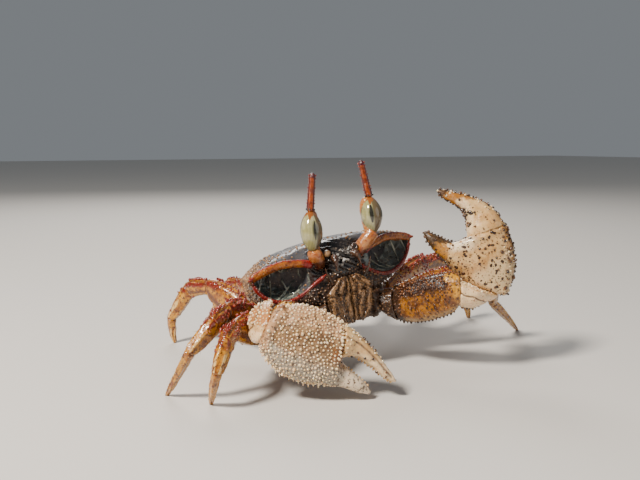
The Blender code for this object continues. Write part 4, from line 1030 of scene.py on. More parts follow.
# Eyestalks: two jointed fleshy-hard stalks stand up out of the sockets. They are clear orange
# with red specks, and widen into a collar that holds the cornea.
STALK_PATH = [(6.8, 7.6, -1.4), (7.2, 6.4, -0.4), (8.2, 5.3, 1.2)]
EYES = {
    "right": np.array([(-9.7, 5.2, 38.4), (-9.8, 7.0, 50.9), (-8.6, 7.6, 62.6)]),
    "left": np.array([(11.3, 3.6, 43.5), (10.7, 5.6, 54.7), (8.8, 8.0, 66.2)]),
}
stalk_finish = finish(
    "eyestalk", (0.38, 0.120, 0.020), (0.46, 0.19, 0.055), 380, (0.18, 0.34), (2200, 0.4, 0.35),
    layers=[("root", (0.13, 0.035, 0.010), 0.6, 500)], fleck=((0.17, 0.018, 0.004), 900, 0.54, 0.66),
    dots=[((0.14, 0.006, 0.006), 1300, 0.3, 0.3)], coat=0.6, soft=0.4,
)
for side, label in SIDES:
    foot, crown, _ = EYES[label]
    axis = unit(crown - foot)
    path = smooth_line(np.vstack([on_floor(mirrored(STALK_PATH, side)), foot + axis * 0.3]), 12)
    t = np.linspace(0, 1, len(path))
    radii = 1.9 + 0.45 * ease(0.2, 0.8, t) - 0.35 * ease(0.85, 1.0, t)
    piece = tube("eyestalk_" + label, path, radii, (1, 0, 0), stalk_finish, 32)
    # The stalk's inner side runs up behind the cornea to the horn.
    inner = np.array([-side, 0.9, 0.0])
    strip = np.array([foot - axis * 1.2, foot + axis * 1.2, foot + axis * 5.5, crown - axis * 2.5, crown])
    strip = strip + unit(inner - axis * np.dot(inner, axis)) * np.array([[0.2], [1.3], [1.9], [1.7], [0.2]])
    join(piece, [tube("strip", smooth_line(strip, 8), 1.75, (1, 0, 0), stalk_finish, 20, ends=5)])
    knead(piece, 0.28, 10)
    place = in_body(spots_of(piece))
    paint(piece, root=ease(1.6, -1.2, place[:, 2]))
    push(piece, 0.08 * wrinkle(place, 1.1, 3))
    wear(piece, "stalk", "eyestalk_" + label)


# Eyes: each cornea is a long glossy egg, pale green to tan, with painted shade on the half turned
# away from the key light and along its outline as seen from in front, a darker foot, fine upright
# lines, a dark slit and an orange tongue of the stalk coming down from the horn.
EYE_RADIUS = 3.5
EYE_FRONT = np.array([-0.47, -0.88, 0.0])
# Each eye: turn and width of the slit, from the way the eye is seen from in front, and where the painted
# shade on its side away from the key light begins.
EYE_LOOKS = {"right": (0.38, 0.05, -0.05), "left": (-0.03, 0.12, 0.0)}
cornea_finish = finish(
    "cornea", (0.31, 0.285, 0.115), (0.40, 0.375, 0.205), 260, (0.05, 0.12), (2600, 0.2, 0.04),
    layers=[
        # The inner and edge layers are painted shade; the edge layer also darkens the foot.
        ("inner", (0.115, 0.078, 0.034), 0.35, 500), ("edge", (0.11, 0.105, 0.040), 0.3, 500),
        ("shade", (0.075, 0.075, 0.040), 0.2, 400), ("slit", (0.006, 0.005, 0.004), 0.06, 700),
        ("tongue", (0.27, 0.070, 0.004), 0.35, 900),
    ], coat=1.0, soft=0.2, glow=(0.6, 0.5, 0.25),
)
tree = cornea_finish.node_tree
lines = node(tree, "ShaderNodeTexWave", {
    "Scale": 420, "Distortion": 3, "Detail": 3, "Vector": node(tree, "ShaderNodeTexCoord").outputs["Object"],
}, bands_direction="X")
colour_over(cornea_finish, sums(tree, "MULTIPLY", lines.outputs["Fac"], 0.22), (0.10, 0.09, 0.05))
for side, label in SIDES:
    foot, crown, _ = EYES[label]
    axis = unit(crown - foot)
    length = np.linalg.norm(crown - foot)
    slit_turn, slit_width, shade_from = EYE_LOOKS[label]
    t = np.linspace(0, 1, 56)
    radii = EYE_RADIUS * np.sin(np.pi * (0.035 + 0.93 * t)) ** 0.62
    path = foot + np.outer(0.15 + (length - 0.3) * t, axis)
    piece = tube("eye_" + label, path, radii, (1, 0, 0), cornea_finish, 64)
    place = spots_of(piece) - foot
    along = place @ axis / length
    hand = unit(np.cross(axis, EYE_FRONT))
    turn = np.arctan2(place @ hand, place @ np.cross(hand, axis))
    off = turn - slit_turn
    swell = np.sin(np.pi * np.clip((along - 0.24) / 0.56, 0, 1))
    width = slit_width + 0.10 * swell
    drip = 0.13 + 0.06 * np.cos(turn * 5.0) + 0.03 * np.cos(turn * 11.0 + 1.0)
    # Painted shade: inner darkens the side turned away from the key light, and edge the outline as seen from
    # in front, besides a darker foot.
    paint(
        piece,
        slit=ease(width, width * 0.35, np.abs(off)) * ease(0, 0.35, swell),
        shade=0.8 * ease(0.5, 0.05, np.abs(off)) * swell ** 0.5,
        inner=ease(shade_from, 0.35, off) * ease(1.5, 1.0, off) * 0.85,
        edge=np.maximum(ease(0.95, 1.35, np.abs(turn)), 0.8 * ease(0.12, 0.0, along)),
        tongue=ease(0.05, -0.03, 1 - along - drip),
    )
    wear(piece, "eye", "eye_" + label)


# Horns: each eyestalk goes on past the cornea as a slim beaded spike, clear orange with dark
# crimson edges and tip, blunt at its end.
HORN_RADIUS = 1.0
horn_finish = finish(
    "horn", (0.26, 0.042, 0.0008), (0.12, 0.014, 0.0006), 620, (0.16, 0.32), (2200, 0.4, 0.6),
    layers=[("tip", (0.055, 0.003, 0.007), 0.45, 900), ("edge", (0.060, 0.004, 0.005), 0.5, 900)],
    dots=[((0.42, 0.12, 0.01), 1300, 0.24, 0.2)], coat=0.25, soft=0.1,
)
crown_finish = finish("crown_spots", (0.008, 0.005, 0.004), (0.03, 0.010, 0.006), 700, (0.1, 0.2), coat=0.8)
for side, label in SIDES:
    foot, crown, tip = EYES[label]
    start = crown - unit(crown - foot) * 0.4
    lean = unit(tip - start)
    length = np.linalg.norm(tip - start)
    t = np.linspace(0, 1, 44)
    spine = start + np.outer(t * length, lean)
    radii = HORN_RADIUS * (1.22 - 0.28 * t ** 0.8) * round_ends(len(t), 4)
    hand = unit(np.cross(lean, EYE_FRONT))
    piece = tube("horn_" + label, spine, radii, hand, horn_finish, 28, 0.85)
    place = spots_of(piece) - start
    push(piece, 0.08 * wrinkle(spots_of(piece), 0.8, 5))
    paint(piece, tip=ease(0.80, 0.93, place @ lean / length),
          edge=ease(0.50, 0.85, np.abs(place @ hand)) * 0.9)
    rows = []
    for way in (hand, -hand):
        line = spine[3:-3] + way * radii[3:-3, None] * 0.92
        rows.append(bead_row(line, 0.95, 0.30, way + lean * 0.5, crimson_finish, 12, height=1.3))
    turn = np.linspace(0, 2 * np.pi, 40)[:-2]
    ring = np.outer(np.cos(turn), hand) + np.outer(np.sin(turn), np.cross(hand, lean))
    rows.append(bead_row(start + lean * 0.9 + 1.25 * ring, 0.95, 0.36, lean, crown_finish, 13, 0.5, 1.0))
    join(piece, rows)
    wear(piece, "horn", "horn_" + label)


# Claws: two unequal nippers. Each palm is one thick hard case with its lower finger, set with
# rows of round beads and spines; the upper finger hinges on it. Cream to tan over white.
# Their side profiles run along the palm and up towards the moving finger, from the wrist.
ARM = {
    "right": {"elbow": (-25.5, -4.6, 20.2), "wrist": (-34.7, -12.1, 18.8), "along": (31.7, -14.5, -16.1),
              "face": (-0.47, -0.86, 0.25), "bulge": 6.8},
    "left": {"elbow": (29.1, -17.6, 26.5), "wrist": (39.6, -16.7, 23.8), "along": (-13.4, 9.7, 21.0),
             "face": (-0.47, -0.86, 0.05), "bulge": 6.0},
}
CLAW = {
    "right": {
        "top": [(0, 7.6), (2.5, 10.0), (6, 12.0), (11, 13.0), (16, 13.0), (20.4, 11.9), (28, 9.8)],
        "low": [(0, -2.5), (2.5, -4.8), (6, -6.6), (11, -7.5), (16, -7.2), (21.5, -5.6), (28, -4.0)],
        "seat": [(0, -2.5), (0, 7.6)],
        "cut": [(20.2, 12.5), (22.9, 2.2)],
        "finger": [(16, 4.0, -6.8), (20.5, 3.2, -5.9), (24.5, 2.0, -5.0), (27.5, 0.8, -4.5),
                   (30.5, -0.1, -4.1), (33.0, -1.1, -3.7), (34.6, -2.1, -3.3)],
        "dactyl": [(20.6, 12.1, 23.3, 3.2), (24.0, 11.3, 25.8, 4.7), (27.6, 10.0, 28.9, 4.6),
                   (31.2, 8.5, 31.8, 4.0), (34.8, 6.6, 34.8, 3.1), (38.0, 4.9, 37.6, 2.6),
                   (40.3, 3.2, 39.6, 2.5)],
        "wave": 0.9, "rounding": 1.0, "flush": 0.5, "bead_gap": 0.88, "low_spines": 1.35,
    },
    "left": {
        "top": [(-3.4, 5.6), (-2.2, 8.6), (0.6, 12.2), (3.9, 15.0), (8.6, 17.3), (15.3, 19.0), (22, 18.5)],
        "low": [(-3.4, 2.6), (-2.2, 0.4), (0.6, -1.4), (3.9, -2.2), (8.6, -2.4), (15.3, -3.2), (22, -4)],
        "seat": [(8.6, -2.6), (-3.0, 4.6)],
        "cut": [(15.0, 18.9), (18.3, 6.4)],
        "finger": [(11, 6.5, -2.2), (14.5, 6.6, -3.0), (17.6, 4.6, -3.5), (20.8, 2.0, -3.9),
                   (24.0, 0.3, -3.8), (26.8, -1.4, -3.2), (27.9, -2.2, -2.8)],
        "dactyl": [(15.4, 19.0, 18.7, 7.6), (20.9, 18.9, 22.6, 10.0), (25.4, 17.0, 26.4, 10.9),
                   (29.4, 14.4, 29.4, 9.9), (32.8, 11.6, 32.2, 8.8), (35.7, 8.9, 35.0, 8.2)],
        "wave": 0.3, "rounding": 0.25, "flush": 1.1, "bead_gap": 1.15, "low_spines": 1.2,
    },
}
WRIST_LUMPS = ((2.0, 9.0, 1.3), (1.7, 6.6, 1.1), (1.5, 4.6, 1.0), (3.0, 7.6, 0.9))
BITE_LUMPS = (((24.3, 9.8), (22.8, 14.2), 0.9), ((25.4, 9.8), (24.0, 12.6), 1.15),
              ((26.4, 10.2), (25.8, 11.4), 0.9), ((21.2, 9.1), (20.9, 10.4), 1.05))
PALM_BULGE = 5.4
PALM_BACK = 3.6
palm_looks = {
    "right": finish(
        "palm_right", (0.34, 0.200, 0.095), (0.20, 0.105, 0.045), 240, (0.22, 0.46), (1900, 0.45, 0.5),
        # On the right palm the light layer is painted light over its top.
        layers=[("pale", (0.34, 0.28, 0.21), 0.8, 320), ("light", (0.50, 0.275, 0.135), 0.8, 320),
                ("smooth", (0.76, 0.60, 0.42), 0.5, 250), ("stain", (0.22, 0.085, 0.022), 0.8, 500)],
        fleck=((0.10, 0.055, 0.030), 1100, 0.50, 0.62), dots=[((0.03, 0.014, 0.007), 1200, 0.26, 0.25)],
        coat=0.35, soft=0.1,
    ),
    "left": finish(
        "palm_left", (0.60, 0.37, 0.150), (0.42, 0.215, 0.068), 260, (0.22, 0.44), (1900, 0.45, 0.5),
        layers=[("pale", (0.62, 0.43, 0.22), 1.0, 250), ("smooth", (0.82, 0.63, 0.40), 0.7, 250),
                ("stain", (0.36, 0.150, 0.016), 1.7, 600), ("tip", (0.060, 0.031, 0.011), 1.4, 700)],
        fleck=((0.33, 0.165, 0.060), 1000, 0.56, 0.68), coat=0.4, soft=0.1,
        dots=[((0.055, 0.022, 0.008), 1250, 0.34, 0.55), ((0.035, 0.014, 0.006), 620, 0.40, 0.45)],
    ),
}
bead_finish = finish(
    "claw_beads", (0.90, 0.68, 0.43), (0.76, 0.50, 0.25), 500, (0.10, 0.2), (2600, 0.3, 0.1), coat=0.8,
    soft=0.15,
)
dark_bead_finish = finish(
    "dark_tubercles", (0.030, 0.012, 0.006), (0.13, 0.052, 0.018), 420, (0.2, 0.36), (2600, 0.3, 0.15),
    coat=0.4,
)
finger_finish = finish(
    "fingers", (0.69, 0.44, 0.19), (0.54, 0.30, 0.105), 200, (0.22, 0.42), (1700, 0.4, 0.35),
    layers=[("smooth", (0.82, 0.59, 0.34), 0.7, 250), ("crease", (0.20, 0.10, 0.040), 0.6, 700),
            ("stain", (0.34, 0.130, 0.014), 1.5, 500), ("tip", (0.085, 0.040, 0.014), 1.2, 600)],
    fleck=((0.36, 0.185, 0.070), 1000, 0.56, 0.68), coat=0.45, soft=0.1,
    dots=[((0.055, 0.022, 0.008), 1250, 0.28, 0.22), ((0.035, 0.014, 0.006), 700, 0.27, 0.16)],
)
lump_finish = finish(
    "bite_lumps", (0.055, 0.024, 0.010), (0.016, 0.007, 0.004), 600, (0.2, 0.36), (2200, 0.5, 0.5), coat=0.4,
)


def claw_frame(label):
    """Wrist, way along the palm, way up to the moving finger, and way out of its face."""
    arm = ARM[label]
    along = unit(arm["along"])
    face = unit(np.array(arm["face"]) - along * np.dot(arm["face"], along))
    up = np.cross(face, along) if label == "right" else np.cross(along, face)
    return np.array(arm["wrist"]), along, unit(up), face


def claw_spot(space, pairs):
    pairs = np.asarray(pairs, float)
    return space[0] + pairs[..., :1] * space[1] + pairs[..., 1:] * space[2]


def claw_ring(space, low, top, bulge, back, count=36):
    """A ring between a lower and an upper edge point of the claw's side profile."""
    a, b = claw_spot(space, low), claw_spot(space, top)
    ring = oval((a + b) / 2, space[3], (b - a) / 2, 1, 1, count, 2.3)
    depth = (ring - (a + b) / 2) @ space[3]
    return ring + np.outer(depth * (np.where(depth > 0, bulge, back) - 1), space[3])


def seat_plane(label, space, which):
    """A plane through two points of the side profile, looking towards the finger tips."""
    a, b = claw_spot(space, CLAW[label][which])
    normal = unit(np.cross(b - a, space[3]))
    return (a + b) / 2, normal if np.dot(normal, space[1]) > 0 else -normal


def slice_off(piece, point, normal):
    """Cut a flat seat across a closed mesh and close it."""
    mesh = bmesh.new()
    mesh.from_mesh(piece.data)
    parts = mesh.verts[:] + mesh.edges[:] + mesh.faces[:]
    bmesh.ops.bisect_plane(mesh, geom=parts, plane_co=in_metres(point), plane_no=normal, clear_outer=True)
    bmesh.ops.holes_fill(mesh, edges=[edge for edge in mesh.edges if edge.is_boundary], sides=0)
    bmesh.ops.recalc_face_normals(mesh, faces=mesh.faces)
    mesh.to_mesh(piece.data)
    mesh.free()


def soften(piece, mask, rounds):
    """Round off a piece's skin where a value allows."""
    pairs = np.zeros(len(piece.data.edges) * 2, int)
    piece.data.edges.foreach_get("vertices", pairs)
    a, b = pairs.reshape(-1, 2).T
    co = spots_of(piece)
    near = np.bincount(pairs, minlength=len(co))
    for _ in range(rounds):
        total = [np.bincount(a, co[b, k], len(co)) + np.bincount(b, co[a, k], len(co)) for k in range(3)]
        co += (np.array(total).T / near[:, None] - co) * 0.6 * mask[:, None]
    move_to(piece, co)


def palm(label):
    """Palm and lower finger, with beads, spines, specks and biting teeth."""
    right = label == "right"
    shape, space = CLAW[label], claw_frame(label)
    origin, along, up, face = space
    hinge, hinge_way = seat_plane(label, space, "cut")
    root, root_way = seat_plane(label, space, "seat")
    first, last = shape["top"][0][0], shape["top"][-1][0]
    top_line, low_line = smooth_line(shape["top"], 10), smooth_line(shape["low"], 10)
    rings = []
    for step in np.linspace(0, 1, 42):
        x = first + (last - first) * step
        fill = 0.62 + 0.38 * np.sin(np.pi * min(1, 0.1 + 0.9 * step))
        low, top = (x, read_off(low_line, x)), (x, read_off(top_line, x))
        rings.append(claw_ring(space, low, top, PALM_BULGE * fill, PALM_BACK * fill, 48))
    piece = loft("claw_" + label + "_palm", rings)
    slice_off(piece, hinge, hinge_way)
    if not right:
        slice_off(piece, root, -root_way)
    finger = smooth_line(shape["finger"], 8)
    rings = []
    for i, (x, top, low) in enumerate(finger):
        t = i / (len(finger) - 1)
        thick = 4.7 - 1.9 * ease(0.0, 0.6, t) - 2.1 * ease(0.5, 1.0, t)
        rings.append(claw_ring(space, (x, low), (x, top), thick, thick * 0.75))
    join(piece, [loft("finger", rings)])
    knead(piece, 0.30, 6)
    spots = spots_of(piece)
    behind, ahead = (hinge - spots) @ hinge_way, (spots - root) @ root_way
    web = ease(5.0, 1.0, (spots - origin) @ up - shape["cut"][1][1] + 2.0)
    soften(piece, hump(behind, 3.2) * web, 60)
    # The hinge's edge waves a little, and both seats are rounded off.
    wave = shape["wave"] * wrinkle(spots, 3.2, 11) * hump(behind, 1.6) * (1 - web)
    move_to(piece, spots_of(piece) + np.outer(wave, hinge_way))
    soften(piece, np.clip(hump(behind, 1.0) * shape["rounding"] + hump(ahead, 1.2), 0, 1), 16)
    spots = spots_of(piece)
    behind, ahead = (hinge - spots) @ hinge_way, (spots - root) @ root_way
    x, z, out = (spots - origin) @ along, (spots - origin) @ up, normals_of(piece) @ face
    tall = (z - read_off(low_line, x)) / (read_off(top_line, x) - read_off(low_line, x))
    # A low swollen lip round the finger's hinge and the wrist, and a soft dent before each.
    lip = hump(behind - 1.6, 0.9) - 0.7 * hump(behind - 3.8, 1.2)
    wrist_lip = hump(ahead - 1.5, 0.9) - 0.6 * hump(ahead - 3.6, 1.2)
    push(piece, 0.30 * lip * ease(0.35, 0.5, tall) + 0.30 * wrist_lip + 0.16 * wrinkle(spots, 2.4, 1))
    for lump_x, lump_z, wide in WRIST_LUMPS if right else ():
        push(piece, 0.85 * ease(0, 0.4, out) * hump(np.hypot(x - lump_x, z - lump_z), wide))
    bare = ease(3.4, 1.6, ahead) * ease(0.35, 0.5, tall) * right
    clear = ease(0.2, 0.9, behind) * ease(0.3, 1.2, ahead) * (1 - bare)
    facing = ease(-0.35, 0.2, out)
    gape = claw_spot(space, smooth_line(np.array(shape["finger"])[1:-1, :2], 8))
    near_gape = line_distance(spots, gape)
    outer_rise = z - read_off(finger[:, [0, 2]], x)
    reach = ease(14, 20, x)
    if right:
        # Painted shade by the finger's hinge: a brown stain there, and more dark tubercles.
        hinge_shade = np.exp(-(((behind - 1.6) / 1.9) ** 2) - ((tall - 0.50) / 0.17) ** 2)
        spot = hump(line_distance(spots, [claw_spot(space, (1.9, 9.0)) + face * 2.5]), 1.3)
        paint(
            piece,
            beads=clear * facing * (1 - 0.9 * ease(21.5, 26.5, x) * ease(3.5, 0.5, near_gape)),
            large=0.20 * clear * facing,
            pale=ease(0.50, 0.10, tall),
            # Painted light: the top of the palm is lightened, and also the bare wrist zone and the wrist's
            # lower corner.
            light=ease(0.55, 0.9, tall) + bare + ease(4.5, 0.5, ahead) * ease(0.5, 0.2, tall),
            smooth=ease(22.5, 28.0, x) * 0.9 + ease(3.0, 0.8, near_gape) * ease(17, 23, x),
            stain=np.maximum(hinge_shade * 0.9, spot),
            dark=0.25 * hinge_shade,
            blots=0,
        )
    else:
        margin = np.minimum(tall, 1 - tall)
        edge = ease(0.13, 0.02, margin) * (1 - reach) + reach * ease(1.5, 0.5, outer_rise)
        speckled = (0.32 + 0.3 * ease(0.4, 0.7, tall)) * facing * ease(1.0, 2.4, near_gape)
        far_tip = 0.9 * ease(14.5, 24.0, x)
        paint(
            piece,
            beads=clear * facing * 0.55 * ease(0.34, 0.06, 1 - tall),
            large=0,
            pale=ease(12, 4, x) * 0.9,
            smooth=ease(7.2, 2.4, near_gape) * ease(0.9, 0.72, x / 26),
            stain=reach * ease(3.4, 1.4, outer_rise) + far_tip + 0.6 * ease(0.72, 0.98, tall) * (1 - reach),
            tip=ease(15.0, 21.5, x) * ease(3.6, 0.9, near_gape) + ease(18.5, 26.5, x),
            dark=speckled + 0.85 * edge,
            blots=0.62 * ease(0.35, 0.75, tall) * ease(0, 0.3, out) * ease(3.0, 5.5, near_gape),
        )
    piece.data.materials.append(palm_looks[label])
    for where, gap, radius, spread, seed, look, stretch in (
        ("beads", shape["bead_gap"], 0.30, 0.35, 4, bead_finish, 1.05),
        ("large", 1.5, 0.44, 0.2, 7, bead_finish, 1.1),
        ("dark", 1.3, 0.29, 0.55, 5, dark_bead_finish, 1.1),
        ("blots", 2.1, 0.52, 0.45, 8, dark_bead_finish, 0.6),
    ):
        granules(piece, where, gap, radius, spread, seed, look, stretch)
    extra = []
    edge_x = np.linspace(first + 1.2, shape["cut"][1][0] - 1.5, 40)
    edge_finish = bead_finish if right else dark_bead_finish
    for line, way, height in ((low_line, -up, shape["low_spines"]), (top_line, up, 1.15)):
        run = claw_spot(space, np.column_stack([edge_x, read_off(line, edge_x)]))
        run = snap(piece, run[((run - hinge) @ hinge_way < -0.6) & ((run - root) @ root_way > 0.8)])
        for shift in (0.0, 1.2):
            lean = way + face * shift * 0.5 + along * 0.3
            extra.append(bead_row(
                snap(piece, run + face * shift), 1.35 + 0.15 * shift, 0.43, lean, edge_finish, 8,
                height=height - shift * 0.1, pointed=right and way is not up and shift == 0,
            ))
    if right:
        (x0, z0), (x1, z1) = shape["cut"]
        rim = np.column_stack([np.linspace(x0, x1, 24) - 0.7, np.linspace(z0, z1, 24)])
        rim = snap(piece, claw_spot(space, rim) + face * 5)
        extra.append(bead_row(rim, 1.05, 0.46, along + face, bead_finish, 18))
    else:
        under = snap(piece, claw_spot(space, finger[8:-3, [0, 2]]))
        extra.append(bead_row(under, 1.4, 0.42, -up, dark_bead_finish, 9))
    teeth_finish = finger_finish if right else dark_bead_finish
    extra.append(bead_row(gape[12:], 1.0, 0.45, up, teeth_finish, 15, 0.5))
    join(piece, extra)
    wear(piece, "claw", "claw_" + label + "_propodus")


def upper_finger(label):
    """The moving finger: a curved tapering hook, beaded on its back, toothed on its inside."""
    right = label == "right"
    space = claw_frame(label)
    origin, along, up, face = space
    rows = smooth_line(CLAW[label]["dactyl"], 9)
    rings = []
    # Its root tucks into the palm's lip.
    root_way = rows[4] - rows[0]
    for step, taper, bulge, back in ((2.2, 0.9, 2.9, 2.3), (1.5, 0.9, 2.9, 2.3),
                                     (CLAW[label]["flush"], 0, 4.6, 3.7)):
        tuck = rows[0] - root_way * step / np.linalg.norm(root_way[:2])
        rings.append(claw_ring(space, tuck[2:] + [0, taper], tuck[:2] - [0, taper], bulge, back))
    for i, row in enumerate(rows):
        t = i / (len(rows) - 1)
        thick = (4.7 - 0.9 * ease(0, 0.25, t)) * (1 - 0.8 * t ** 1.5)
        rings.append(claw_ring(space, row[2:], row[:2], thick, thick * 0.8))
    piece = loft("claw_" + label + "_finger", rings, finger_finish)
    knead(piece, 0.28, 4)
    back, bite = claw_spot(space, rows[3:-6, :2]), claw_spot(space, rows[6:-4, 2:])
    middle = claw_spot(space, 0.64 * rows[2:-8, :2] + 0.36 * rows[2:-8, 2:])
    spots = spots_of(piece)
    facing = normals_of(piece) @ face
    tip_x, root_x = rows[-1, 0], rows[0, 0]
    t = ((spots - origin) @ along - root_x) / (tip_x - root_x)
    near_back = hump(line_distance(spots, back), 1.9)
    near_bite = line_distance(spots, bite)
    crease = hump(line_distance(spots - np.outer((spots - origin) @ face, face), middle), 0.5)
    crease = crease * ease(0.1, 0.5, facing) * (0.9 if right else 0.2)
    bumps = 0.4 * ease(1.6, 0.4, near_bite) * wrinkle(spots, 1.5, 6)
    push(piece, 0.18 * wrinkle(spots, 1.8, 4) + bumps - 0.4 * crease)
    paint(piece, crease=crease * 0.8, smooth=ease(6.0, 2.0, near_bite) * (0.8 if right else 1.0))
    if right:
        paint(
            piece,
            beads=near_back * ease(0.95, 0.6, t) + 0.5 * ease(0.25, 0.05, t) * ease(0, 0.4, facing),
            stain=0.4 * ease(0.8, 1.0, t) + 0.25 * hump(t - 0.02, 0.05),
            tip=0,
            dark=0.12 + 0.5 * ease(0.15, 0.0, t) + 0.35 * ease(0.6, 1.0, t),
        )
    else:
        patches = ease(-0.1, 0.3, wrinkle(spots, 3.0, 9))
        paint(
            piece,
            beads=0.8 * near_back,
            stain=0.75 * ease(0.40, 0.80, t) + 0.65 * near_back + 0.5 * ease(1.8, 0.6, near_bite),
            tip=ease(0.80, 0.92, t) + 0.9 * ease(1.3, 0.4, near_bite) * patches,
            dark=0.85 * near_back + 0.12 + 0.7 * ease(1.2, 0.4, near_bite),
        )
    granules(piece, "beads", 1.05, 0.36, 0.35, 6, bead_finish)
    granules(piece, "dark", 1.2, 0.31, 0.55, 5, dark_bead_finish, 1.1)
    extra = [bead_row(bite, 1.0, 0.45, -up, finger_finish if right else dark_bead_finish, 16, 0.6)]
    if not right:
        extra.append(bead_row(snap(piece, back), 1.45, 0.43, up, dark_bead_finish, 17))
        for start, end, size in BITE_LUMPS:
            lump = snap(piece, claw_spot(space, np.linspace(start, end, 6)) + face * 2.5)
            extra.append(bead_row(lump, 0.8, size, face, lump_finish, 19, 0.9, 0.9))
    join(piece, extra)
    wear(piece, "claw", "claw_" + label + "_dactyl")


for side, label in SIDES:
    palm(label)
    upper_finger(label)


# Claw arms: from the body a short ischium, a broad three-edged merus and a rounded carpus turn
# each claw forward. They are gold to orange-pink, granular above and smooth cream below.
ROOTS = [(12.3, 6.8), (17.0, 13.3), (18.8, 21.0), (17.8, 28.8), (13.8, 35.3)]
ROOT_HEADINGS = [-50, -22, -4, 18, 50]
ROOT_LEVEL = -18.8
GAP = 0.3
HALF_GAP = GAP / 2
COLLAR_REACH = 5.0
ISCHIUM_ROWS = [(0, 6.6, 6.0, 0), (0.5, 8.4, 6.2, -0.6), (1, 10.0, 6.4, -1.2)]
MERUS_ROWS = [(0, 10.2, 6.4, -1.2), (0.2, 12.6, 7.2, -1.2), (0.5, 13.8, 7.6, -0.8), (0.8, 12.8, 7.6, -0.2),
              (1, 10.2, 6.8, 0)]
UPRIGHT = np.array([0, 0, 1.0])
arm_finish = finish(
    "arm", (0.34, 0.125, 0.006), (0.11, 0.030, 0.003), 330, (0.22, 0.42), (1900, 0.5, 0.55),
    layers=[("granular", (0.022, 0.007, 0.003), 0.9, 500), ("pale", (0.38, 0.20, 0.05), 0.6, 300),
            # The dark root layer is partly dirt, partly painted shade where the arm meets the body.
            ("knob", (0.58, 0.27, 0.014), 1.1, 420), ("root", (0.030, 0.013, 0.006), 0.6, 400)],
    fleck=((0.060, 0.020, 0.004), 1000, 0.52, 0.64), dots=[((0.44, 0.26, 0.10), 1200, 0.26, 0.3)],
    coat=0.45, soft=0.1,
)
arm_granules = finish(
    "arm_granules", (0.042, 0.010, 0.003), (0.28, 0.095, 0.02), 400, (0.22, 0.38), (2600, 0.3, 0.15),
    coat=0.3,
)
carpus_finish = finish(
    "carpus", (0.70, 0.41, 0.17), (0.76, 0.50, 0.25), 200, (0.2, 0.38), (1700, 0.4, 0.35),
    layers=[("granular", (0.46, 0.185, 0.055), 0.8, 400), ("smooth", (0.86, 0.60, 0.34), 0.4, 300),
            ("crease", (0.16, 0.085, 0.035), 0.5, 700)],
    fleck=((0.36, 0.15, 0.055), 1000, 0.56, 0.68), dots=[((0.16, 0.035, 0.010), 1100, 0.26, 0.3)],
    coat=0.4, soft=0.12,
)


def root_place(index, side):
    """Where a limb leaves the body, and the way it goes."""
    turn = math.radians(ROOT_HEADINGS[index])
    place = on_floor([ROOTS[index][0] * side, ROOTS[index][1], ROOT_LEVEL])
    return place, unit(heading(math.cos(turn) * side, math.sin(turn), 0))


def limb_rings(start, end, start_way, end_way, thin, rows):
    """Rings of a limb piece: rows are place along, height, thickness and lift."""
    axis = unit(end - start)
    length = np.linalg.norm(end - start)
    rows = smooth_line(rows, 8)
    # A short neck goes into the piece before it.
    neck = [(-into / length, rows[0, 1] * share, rows[0, 2] * share, rows[0, 3])
            for into, share in ((0.9, 0.7), (0.1, 0.78))]
    rings = []
    for t, height, thick, lift in neck + list(rows):
        normal = unit(axis + (start_way - axis) * ease(0.16, 0.0, t) + (end_way - axis) * ease(0.84, 1.0, t))
        across = unit(thin - normal * np.dot(thin, normal))
        up = np.cross(across, normal)
        centre = start + axis * length * t + up * lift
        rings.append(oval(centre, across, up, thick / 2, height / 2, 32, 2.3))
    return rings


def limb_marks(piece, start, end):
    """Place along a limb piece and how far each corner faces up."""
    t = (spots_of(piece) - start) @ unit(end - start) / np.linalg.norm(end - start)
    return t, normals_of(piece)[:, 2]


def hull_piece(name, cloud):
    """The tight skin round a cloud of points."""
    piece = add_piece(name, cloud, [])
    mesh = bmesh.new()
    mesh.from_mesh(piece.data)
    bmesh.ops.remove_doubles(mesh, verts=mesh.verts, dist=0.0001)
    bmesh.ops.convex_hull(mesh, input=mesh.verts)
    bmesh.ops.delete(mesh, geom=[vert for vert in mesh.verts if not vert.link_faces], context="VERTS")
    bmesh.ops.recalc_face_normals(mesh, faces=mesh.faces)
    mesh.to_mesh(piece.data)
    mesh.free()
    return piece


